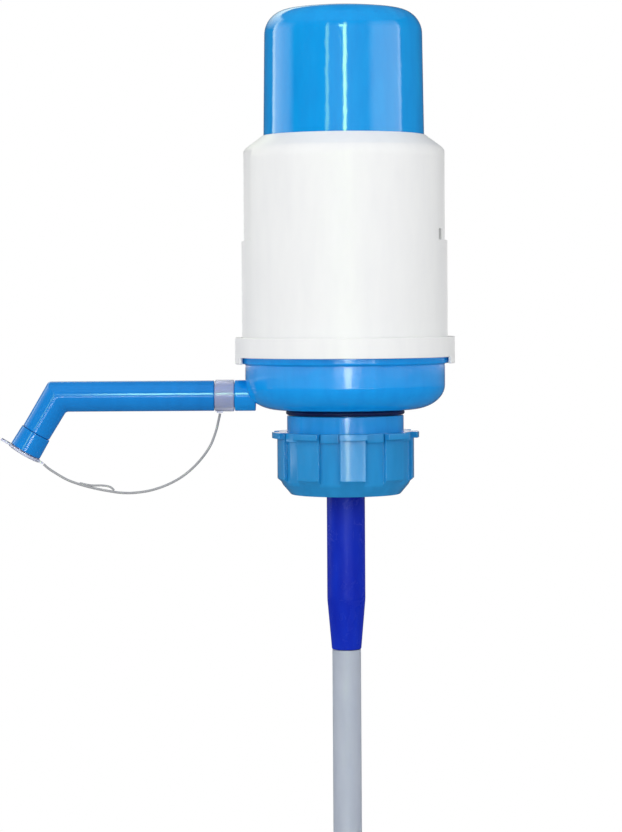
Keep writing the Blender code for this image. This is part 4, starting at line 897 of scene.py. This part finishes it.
# %% Strap ring with its lug
def small_block(low, high, radius):
    """A box between two corners in millimetres, with its edges rounded."""
    made = bmesh.new()
    bmesh.ops.create_cube(made, size=1)
    low, high = Vector(low) * MM, Vector(high) * MM
    bmesh.ops.scale(made, vec=high - low, verts=made.verts)
    bmesh.ops.translate(made, vec=(low + high) / 2, verts=made.verts)
    soften(made, made.edges, radius)
    return made


strap = turned([(6.1, 53.3), (7.6, 53.3, 0.5), (7.6, 62.6, 0.5), (6.1, 62.6)], steps=96)
bmesh.ops.transform(strap, matrix=along_minus_x, verts=strap.verts)
lug = small_block((-61.78, -1.2, SPOUT_HEIGHT - 8.3), (-58.78, 1.2, SPOUT_HEIGHT - 7.0), 0.3)
finished("strap_ring_band", merged([strap, lug]), CLEAR_PVC, "spout", ["strap_ring"])

# %% Stopper with its tab and lug
stopper = turned(
    [(0, 32.0), (8.4, 32.0, 0.5), (8.4, 30.5, 0.4), (5.1, 30.5), (5.1, 25.6, 0.4), (3.9, 25.6)]
    + [(3.9, 30.5), (0, 30.5)],
    steps=96,
)
tab = small_block((6.8, -2.5, 30.8), (13.0, 2.5, 31.7), 0.3)
cap_lug = small_block((-10.4, -1.2, 30.8), (-6.8, 1.2, 31.7), 0.3)
whole = merged([stopper, tab, cap_lug])
bmesh.ops.transform(whole, matrix=on_the_arm, verts=whole.verts)
finished("spout_stopper", whole, CLEAR_PVC, "spout_cap", ["spout_cap"])

# %% [markdown]
# ## Riser sleeve, dip tubes and couplers
# Below the collar hangs the way up for the water: a deep blue sleeve that tapers to a milky
# tube in three lengths, joined by couplers. The lowest tube has notches in its foot, so that
# it can stand on the jug's floor and still draw water.

# %% Riser sleeve
riser = turned(
    [
        (4.9, 12.0),
        (9.2, 12.0, 0.5),
        (9.2, -73.6, 1.2),
        (7.1, -97.6, 0.3),
        (5.1, -97.6),
        (5.1, -111.0, 0.3),
        (3.6, -111.0, 0.3),
        (3.6, -97.6),
        (6.6, -73.6),
        (6.6, -12.9),
        (3.2, -6.3),
        (4.9, -6.3),
    ],
    steps=96,
)
finished("riser_tube", riser, DEEP_BLUE_PP, "pump_body", ["riser_sleeve"])

# %% Dip tubes and couplers
TUBE_TOPS = {"upper": -97.9, "middle": -224.0, "lower": -350.1}
TUBE_LENGTH, TUBE_RADIUS, TUBE_BORE = 124.0, 6.9, 5.4
NOTCH_TOP, HALF_NOTCH = 6.0, 2.5
for name, top in TUBE_TOPS.items():
    foot = top - TUBE_LENGTH
    section = [(TUBE_BORE, top, 0.3), (TUBE_RADIUS, top, 0.3), (TUBE_RADIUS, foot + NOTCH_TOP)]
    section += [(TUBE_RADIUS, foot, 0.3), (TUBE_BORE, foot, 0.3), (TUBE_BORE, foot + NOTCH_TOP)]
    tube = turned(section, steps=96)
    if name == "lower":
        gone = []
        for face in tube.faces:
            spot = face.calc_center_median()
            if abs(spot.y) < HALF_NOTCH * MM and spot.z < (foot + NOTCH_TOP - 0.1) * MM:
                gone.append(face)
        bmesh.ops.delete(tube, geom=gone, context="FACES")
        rims = [e for e in tube.edges if e.is_boundary]
        bmesh.ops.bridge_loops(tube, edges=[e for e in rims if e.verts[0].co.x > 0])
        bmesh.ops.bridge_loops(tube, edges=[e for e in rims if e.verts[0].co.x < 0])
    finished(f"tube_{name}", tube, MILKY_PE, "pump_body", [f"dip_tube_{name}"])
COUPLER_MIDDLES = {"upper": -222.95, "lower": -349.05}
HALF_COUPLER, HALF_STOP, COUPLER_BORE = 13, 0.75, 7.2
for name, middle in COUPLER_MIDDLES.items():
    coupler = turned(
        [
            (COUPLER_BORE, middle - HALF_COUPLER, 0.3),
            (8.4, middle - HALF_COUPLER, 0.3),
            (8.4, middle + HALF_COUPLER, 0.3),
            (COUPLER_BORE, middle + HALF_COUPLER, 0.3),
            (COUPLER_BORE, middle + HALF_STOP),
            (5.7, middle + HALF_STOP),
            (5.7, middle - HALF_STOP),
            (COUPLER_BORE, middle - HALF_STOP),
        ],
        steps=96,
    )
    node = f"tube_coupler_{name}"
    finished(f"coupler_{name}", coupler, MILKY_PE, "pump_body", [node])

# %% [markdown]
# ## Bellows and return spring
# Nobody sees these two until the pump is opened, but they do its work. The bellows is a rubber
# concertina; its pleats are a zigzag outline with rounded folds, spun. The spring is a wire
# along a helix. Both shorten when the cap goes down, so they squash towards the valve plate.

# %% Bellows
PLEATS, RUBBER, FOLD = 7, 1.2, 1.3
LOW, HIGH, LIP = 45.6, 137.6, 1.5
CREST, VALLEY = 33.5, 27.0
half_pitch = (HIGH - LOW) / (2 * PLEATS)
outside = [
    (CREST if i % 2 else VALLEY, LOW + half_pitch * i, FOLD) for i in range(1, 2 * PLEATS)
]
inside = [(r - RUBBER, z, FOLD) for r, z, _ in outside][::-1]
foot_lip = [(VALLEY - RUBBER, LOW - LIP), (44.6, LOW - LIP), (44.6, LOW), (VALLEY, LOW, 0.8)]
head_lip = [(VALLEY, HIGH, 0.8), (30.35, HIGH), (30.35, HIGH + LIP), (23.35, HIGH + LIP)]
head_lip += [(23.35, HIGH), (VALLEY - RUBBER, HIGH, 0.8)]
last = [(VALLEY - RUBBER, LOW, 0.8)]
bellows = turned(foot_lip + outside + head_lip + inside + last, steps=128, segments=3)
bellows_piece = finished(
    "bellows_pleats", bellows, GREY_RUBBER, "pump_body", ["bellows"], weighted=False
)
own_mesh(bellows_piece)

# %% [markdown]
# The spring's wire is drawn steel. Drawing leaves fine lines along the wire, and the metal has
# a slightly warm grey; metals keep the default index of refraction.

# %% Spring steel and the spring
SPRING_STEEL, tree = new_material("drawn spring steel")
place = add_node(tree, "ShaderNodeTexCoord").outputs["Object"]
# Drawing lines lie a tenth of a millimetre apart.
lines = mottle(tree, 0.1, place, Detail=3.0)
dull = remap(tree, lines, 0.3, 0.7, 0.22, 0.4)
metal = tree.nodes["Principled BSDF"]
metal.inputs["Base Color"].default_value = colour("#b9b6b1")
metal.inputs["Metallic"].default_value = 1.0
tree.links.new(dull, metal.inputs["Roughness"])

TURNS, WIRE_RADIUS, SPRING_RADIUS, STEPS_PER_TURN = 8, 0.9, 20.0, 40
low, high = 45.0, 138.2
closed = WIRE_RADIUS * 2 + 0.6
spring_route = []
for i in range(TURNS * STEPS_PER_TURN + 1):
    share = i / (TURNS * STEPS_PER_TURN)
    if share < 1 / TURNS:
        height = low + closed * share * TURNS
    elif share > 1 - 1 / TURNS:
        height = high - closed * (1 - share) * TURNS
    else:
        height = low + closed + (high - low - 2 * closed) * (share - 1 / TURNS) / (1 - 2 / TURNS)
    turn = math.tau * TURNS * share
    spot = (SPRING_RADIUS * math.cos(turn), SPRING_RADIUS * math.sin(turn), height)
    spring_route.append(Vector(spot) * MM)
spring = tube_along(spring_route, WIRE_RADIUS, sides=12)
spring_piece = finished(
    "spring_coil",
    spring,
    SPRING_STEEL,
    "pump_body",
    ["return_spring"],
    weighted=False,
)
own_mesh(spring_piece)

# %% [markdown]
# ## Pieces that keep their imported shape
# Plates, valves, screws, water duct and inner seals sit inside the closed pump. Their packed
# solids already have the right form, so they only take their real materials. The screws are
# zinc plated, which gives a pale, slightly blue metal.

# %% Materials of the inner pieces
ZINC = SPRING_STEEL.copy()
ZINC.name = "zinc plated steel"
ZINC.node_tree.nodes["Principled BSDF"].inputs["Base Color"].default_value = colour("#c6ccd2")
INNER_FINISHES = {
    "valve_plate": INNER_WHITE,
    "bellows_clamp_ring": INNER_WHITE,
    "bellows_top_plate": INNER_WHITE,
    "water_duct": INNER_WHITE,
    "intake_valve": GREY_RUBBER,
    "delivery_valve": GREY_RUBBER,
    "chamber_gasket": GREY_RUBBER,
    "spout_seal": NAVY_RUBBER,
    "plate_screw_1": ZINC,
    "plate_screw_2": ZINC,
    "plate_screw_3": ZINC,
}
for name, finish in INNER_FINISHES.items():
    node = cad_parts[name]
    for place in node.material_slots:
        place.material = finish
    print(name, "takes", finish.name)

# %% [markdown]
# ## Floor, background and light
# The photograph is a studio shot on white. A wide floor lies below the tube's foot. Near the
# pump it takes the shadow; further out it fades into the white of the background, which only
# the camera, reflections and clear plastic see. The light that falls on the pump is weaker.

# %% Floor
FLOOR_HEIGHT, FLOOR_RADIUS = -0.4746, 9.0
FADE_START, FADE_END = 0.7, 1.5
floor_mesh = bmesh.new()
bmesh.ops.create_circle(floor_mesh, cap_ends=True, segments=96, radius=FLOOR_RADIUS)
bmesh.ops.translate(floor_mesh, vec=(0, 0, FLOOR_HEIGHT), verts=floor_mesh.verts)
PALE_FLOOR, tree = new_material("pale studio floor", bare=True)
place = add_node(tree, "ShaderNodeTexCoord").outputs["Object"]
away = add_node(tree, "ShaderNodeVectorMath", {"operation": "LENGTH"}, {0: place})
away = away.outputs["Value"]
far = remap(tree, away, FADE_START, FADE_END, interpolation_type="SMOOTHSTEP")
paint = add_node(tree, "ShaderNodeBsdfDiffuse", {"Color": colour("#e4e4e4")})
white = add_node(tree, "ShaderNodeEmission", {"Color": (1, 1, 1, 1), "Strength": 1.0})
ray = add_node(tree, "ShaderNodeLightPath").outputs
seen = compute(tree, "MULTIPLY", far, ray["Is Camera Ray"])
wires = {0: seen, 1: paint.outputs[0], 2: white.outputs[0]}
blend = add_node(tree, "ShaderNodeMixShader", {}, wires)
tree.links.new(blend.outputs[0], tree.nodes["Material Output"].inputs["Surface"])
floor = finished("studio_floor", floor_mesh, PALE_FLOOR, None, weighted=False)
floor.visible_glossy = False

# %% White background and soft room light
WORLD_LIGHT = 0.57
world = bpy.data.worlds.new("white studio")
world.use_nodes = True
scene.world = world
tree = world.node_tree
ray = add_node(tree, "ShaderNodeLightPath").outputs
seen = compute(tree, "MAXIMUM", ray["Is Camera Ray"], ray["Is Glossy Ray"])
seen = compute(tree, "MAXIMUM", seen, ray["Is Transmission Ray"])
level = remap(tree, seen, 0.0, 1.0, WORLD_LIGHT, 1.0)
back = tree.nodes["Background"]
back.inputs["Color"].default_value = (1, 1, 1, 1)
tree.links.new(level, back.inputs["Strength"])
print("room light:", WORLD_LIGHT)


# %% Soft lamps
AIM = Vector((0, 0, 0.08))


def soft_lamp(name, place, size, watts):
    """A square area lamp that points at the pump; reflections are left to the studio drum."""
    lamp = bpy.data.objects.new(name, bpy.data.lights.new(name, "AREA"))
    lamp.data.shape = "SQUARE"
    lamp.data.size = size
    lamp.data.energy = watts
    lamp.location = place
    lamp.rotation_euler = (AIM - Vector(place)).to_track_quat("-Z", "Y").to_euler()
    lamp.visible_glossy = False
    scene.collection.objects.link(lamp)
    print(f"{name}: {watts} W over {size} m")


soft_lamp("front_left", (-2.1, -1.8, 1.1), 1.6, 22)
soft_lamp("front_right", (2.0, -1.9, 1.0), 1.6, 19)
soft_lamp("front_low", (-0.9, -2.6, -0.1), 1.0, 4)
soft_lamp("front_above", (0.0, -2.0, 2.5), 1.8, 15)

# %% [markdown]
# ## What the gloss shows
# A glossy cylinder mirrors the whole studio in upright stripes. In the photograph the cap has
# a broad pale stripe on each side, two thin bright lines near its middle, and dark edges. Those
# are softboxes, lamp tubes and black cards. They are painted here as stripes on a wide drum
# round the pump, which only reflections can see, so it doesn't light or hide anything. Each
# piece of the pump mirrors another height of the drum, so the stripes change with the height.

# %% Stripes of the studio, from the lowest to the highest
WHITE = (1.0, 1.0, 1.0)
TUBE_GREEN = (0.6, 1.0, 0.2)
TUBE_WHITE = (0.95, 1.0, 0.75)
SKY = (0.8, 0.92, 1.0)
# A stop is an angle from the front in degrees, a level and, where it isn't white, a tint.
BELOW = ((-180, 0.004), (0, 0.008), (180, 0.004))
BESIDE_COLLAR = (
    (-180, 0.006),
    (-128, 0.008),
    (-122, 0.11, SKY),
    (-98, 0.09, SKY),
    (-88, 0.012),
    (-11.5, 0.014),
    (-10.4, 0.5, SKY),
    (-8.4, 0.5, SKY),
    (-7, 0.21, SKY),
    (0, 0.26, SKY),
    (1, 0.55, TUBE_WHITE),
    (5, 0.55, TUBE_WHITE),
    (6.5, 0.25, SKY),
    (27.5, 0.19, SKY),
    (29.5, 0.5, SKY),
    (32.5, 0.5, SKY),
    (34, 0.012),
    (100, 0.005),
    (180, 0.004),
)
BESIDE_NECK = (
    (-180, 0.006),
    (-1, 0.012),
    (0.9, 0.24, TUBE_GREEN),
    (3.4, 0.24, TUBE_GREEN),
    (4.6, 0.012),
    (180, 0.004),
)
BESIDE_BOWL = (
    (-180, 0.003),
    (-90, 0.006),
    (-12, 0.012),
    (-1.8, 0.14, SKY),
    (0.4, 1.0),
    (5.2, 1.0),
    (7.4, 0.14, SKY),
    (17, 0.02, SKY),
    (60, 0.02, SKY),
    (90, 0.008),
    (180, 0.003),
)
BESIDE_RIM = (
    (-180, 0.05),
    (-80, 0.22),
    (-16, 0.28),
    (-5, 1.0),
    (9, 1.0),
    (20, 0.28),
    (80, 0.2),
    (180, 0.04),
)
BESIDE_BARREL = (
    (-180, 0.05),
    (-148, 0.04),
    (-140, 0.004),
    (0, 0.02),
    (140, 0.004),
    (148, 0.03),
    (180, 0.05),
)
BESIDE_CAP = (
    (-180, 0.003),
    (-125, 0.004),
    (-123, 0.17, TUBE_WHITE),
    (-119.5, 0.17, TUBE_WHITE),
    (-115, 0.1),
    (-86, 0.06),
    (-76, 0.005),
    (-26.8, 0.005),
    (-25.6, 0.28, TUBE_GREEN),
    (-22.6, 0.28, TUBE_GREEN),
    (-21.4, 0.03),
    (-1.2, 0.035),
    (0.0, 0.9, TUBE_GREEN),
    (2.9, 0.9, TUBE_GREEN),
    (4.4, 0.03),
    (34, 0.018),
    (44, 0.08),
    (84, 0.105),
    (86.5, 0.17),
    (89, 0.17),
    (91, 0.01),
    (140, 0.003),
    (180, 0.003),
)
OVER_CAP = (
    (-180, 0.03, TUBE_WHITE),
    (-168, 0.11, TUBE_WHITE),
    (-122, 0.11, TUBE_WHITE),
    (-112, 0.01),
    (34, 0.006),
    (48, 0.035),
    (86, 0.035),
    (96, 0.004),
    (170, 0.004),
    (180, 0.03, TUBE_WHITE),
)
CEILING = ((-180, 0.006), (-50, 0.022, SKY), (50, 0.022, SKY), (180, 0.006))
# Each row takes over above this height in metres, over the second number's width.
ROWS = (
    (-0.38, 0.02, BESIDE_COLLAR),
    (-0.24, 0.02, BESIDE_NECK),
    (-0.13, 0.01, BESIDE_BOWL),
    (-0.062, 0.004, BESIDE_RIM),
    (-0.016, 0.01, BESIDE_BARREL),
    (0.34, 0.04, BESIDE_CAP),
    (0.9, 1.7, OVER_CAP),
    (2.7, 0.3, CEILING),
)
LAMP_STRENGTH = 24.0
print("rows of stripes:", len(ROWS) + 1)


# %% Studio drum
STUDIO, tree = new_material("softboxes and black cards", bare=True)
place = add_node(tree, "ShaderNodeTexCoord").outputs["Object"]
# Turned by a quarter, so that the ramp starts behind the pump and its middle faces the camera.
facing = add_node(tree, "ShaderNodeMapping", {"Rotation": (0, 0, math.pi / 2)}, {"Vector": place})
round_it = add_node(
    tree, "ShaderNodeTexGradient", {"gradient_type": "RADIAL"}, {"Vector": facing.outputs[0]}
)
height = add_node(tree, "ShaderNodeSeparateXYZ", {}, {0: place}).outputs["Z"]


def stripes_of(table):
    """A colour ramp round the drum, from stops of degrees, level and, if not white, a tint."""
    ramp = add_node(tree, "ShaderNodeValToRGB", {}, {"Fac": round_it.outputs["Fac"]})
    stops = []
    for degrees, level, *tint in table:
        shade = [level * part for part in (tint[0] if tint else WHITE)]
        stops.append((degrees / 360 + 0.5, (*shade, 1)))
    add_stops(ramp, stops)
    return ramp.outputs[0]


shade = stripes_of(BELOW)
for low, width, table in ROWS:
    above = remap(tree, height, low, low + width)
    wires = {0: above, 6: shade, 7: stripes_of(table)}
    shade = add_node(tree, "ShaderNodeMix", {"data_type": "RGBA"}, wires).outputs[2]
glow = add_node(tree, "ShaderNodeEmission", {"Strength": LAMP_STRENGTH}, {"Color": shade})
tree.links.new(glow.outputs[0], tree.nodes["Material Output"].inputs["Surface"])

DRUM_SIZE = {"radius1": 4.0, "radius2": 4.0, "depth": 6.0}
drum_mesh = bmesh.new()
bmesh.ops.create_cone(drum_mesh, cap_ends=True, segments=128, **DRUM_SIZE)
drum = finished("studio_drum", drum_mesh, STUDIO, None, weighted=False)

# %% [markdown]
# The spout lies flat, so it doesn't show the upright stripes but whatever is level and high. A
# bright card in front, well above the camera, gives it the line of light along its run.

# %% Card over the camera
CARD, tree = new_material("bright card", bare=True)
glow = add_node(tree, "ShaderNodeEmission", {"Color": (0.5, 1.0, 0.6, 1), "Strength": 17.0})
tree.links.new(glow.outputs[0], tree.nodes["Material Output"].inputs["Surface"])
CARD_WIDTH, CARD_HEIGHT, CARD_PLACE = 0.4, 0.8, (-0.24, -3.9, 1.15)
card_mesh = bmesh.new()
bmesh.ops.create_grid(card_mesh, x_segments=1, y_segments=1, size=0.5)
bmesh.ops.scale(card_mesh, vec=(CARD_WIDTH, CARD_HEIGHT, 1), verts=card_mesh.verts)
upright = Matrix.Rotation(math.radians(90), 3, "X")
bmesh.ops.rotate(card_mesh, cent=(0, 0, 0), matrix=upright, verts=card_mesh.verts)
bmesh.ops.translate(card_mesh, vec=CARD_PLACE, verts=card_mesh.verts)
card = finished("bright_card", card_mesh, CARD, None, weighted=False)

# %% Only reflections see the drum and the card
for piece in (drum, card):
    for kind in ("camera", "diffuse", "transmission", "volume_scatter", "shadow"):
        setattr(piece, f"visible_{kind}", False)
    print(piece.name, "shows in reflections only")
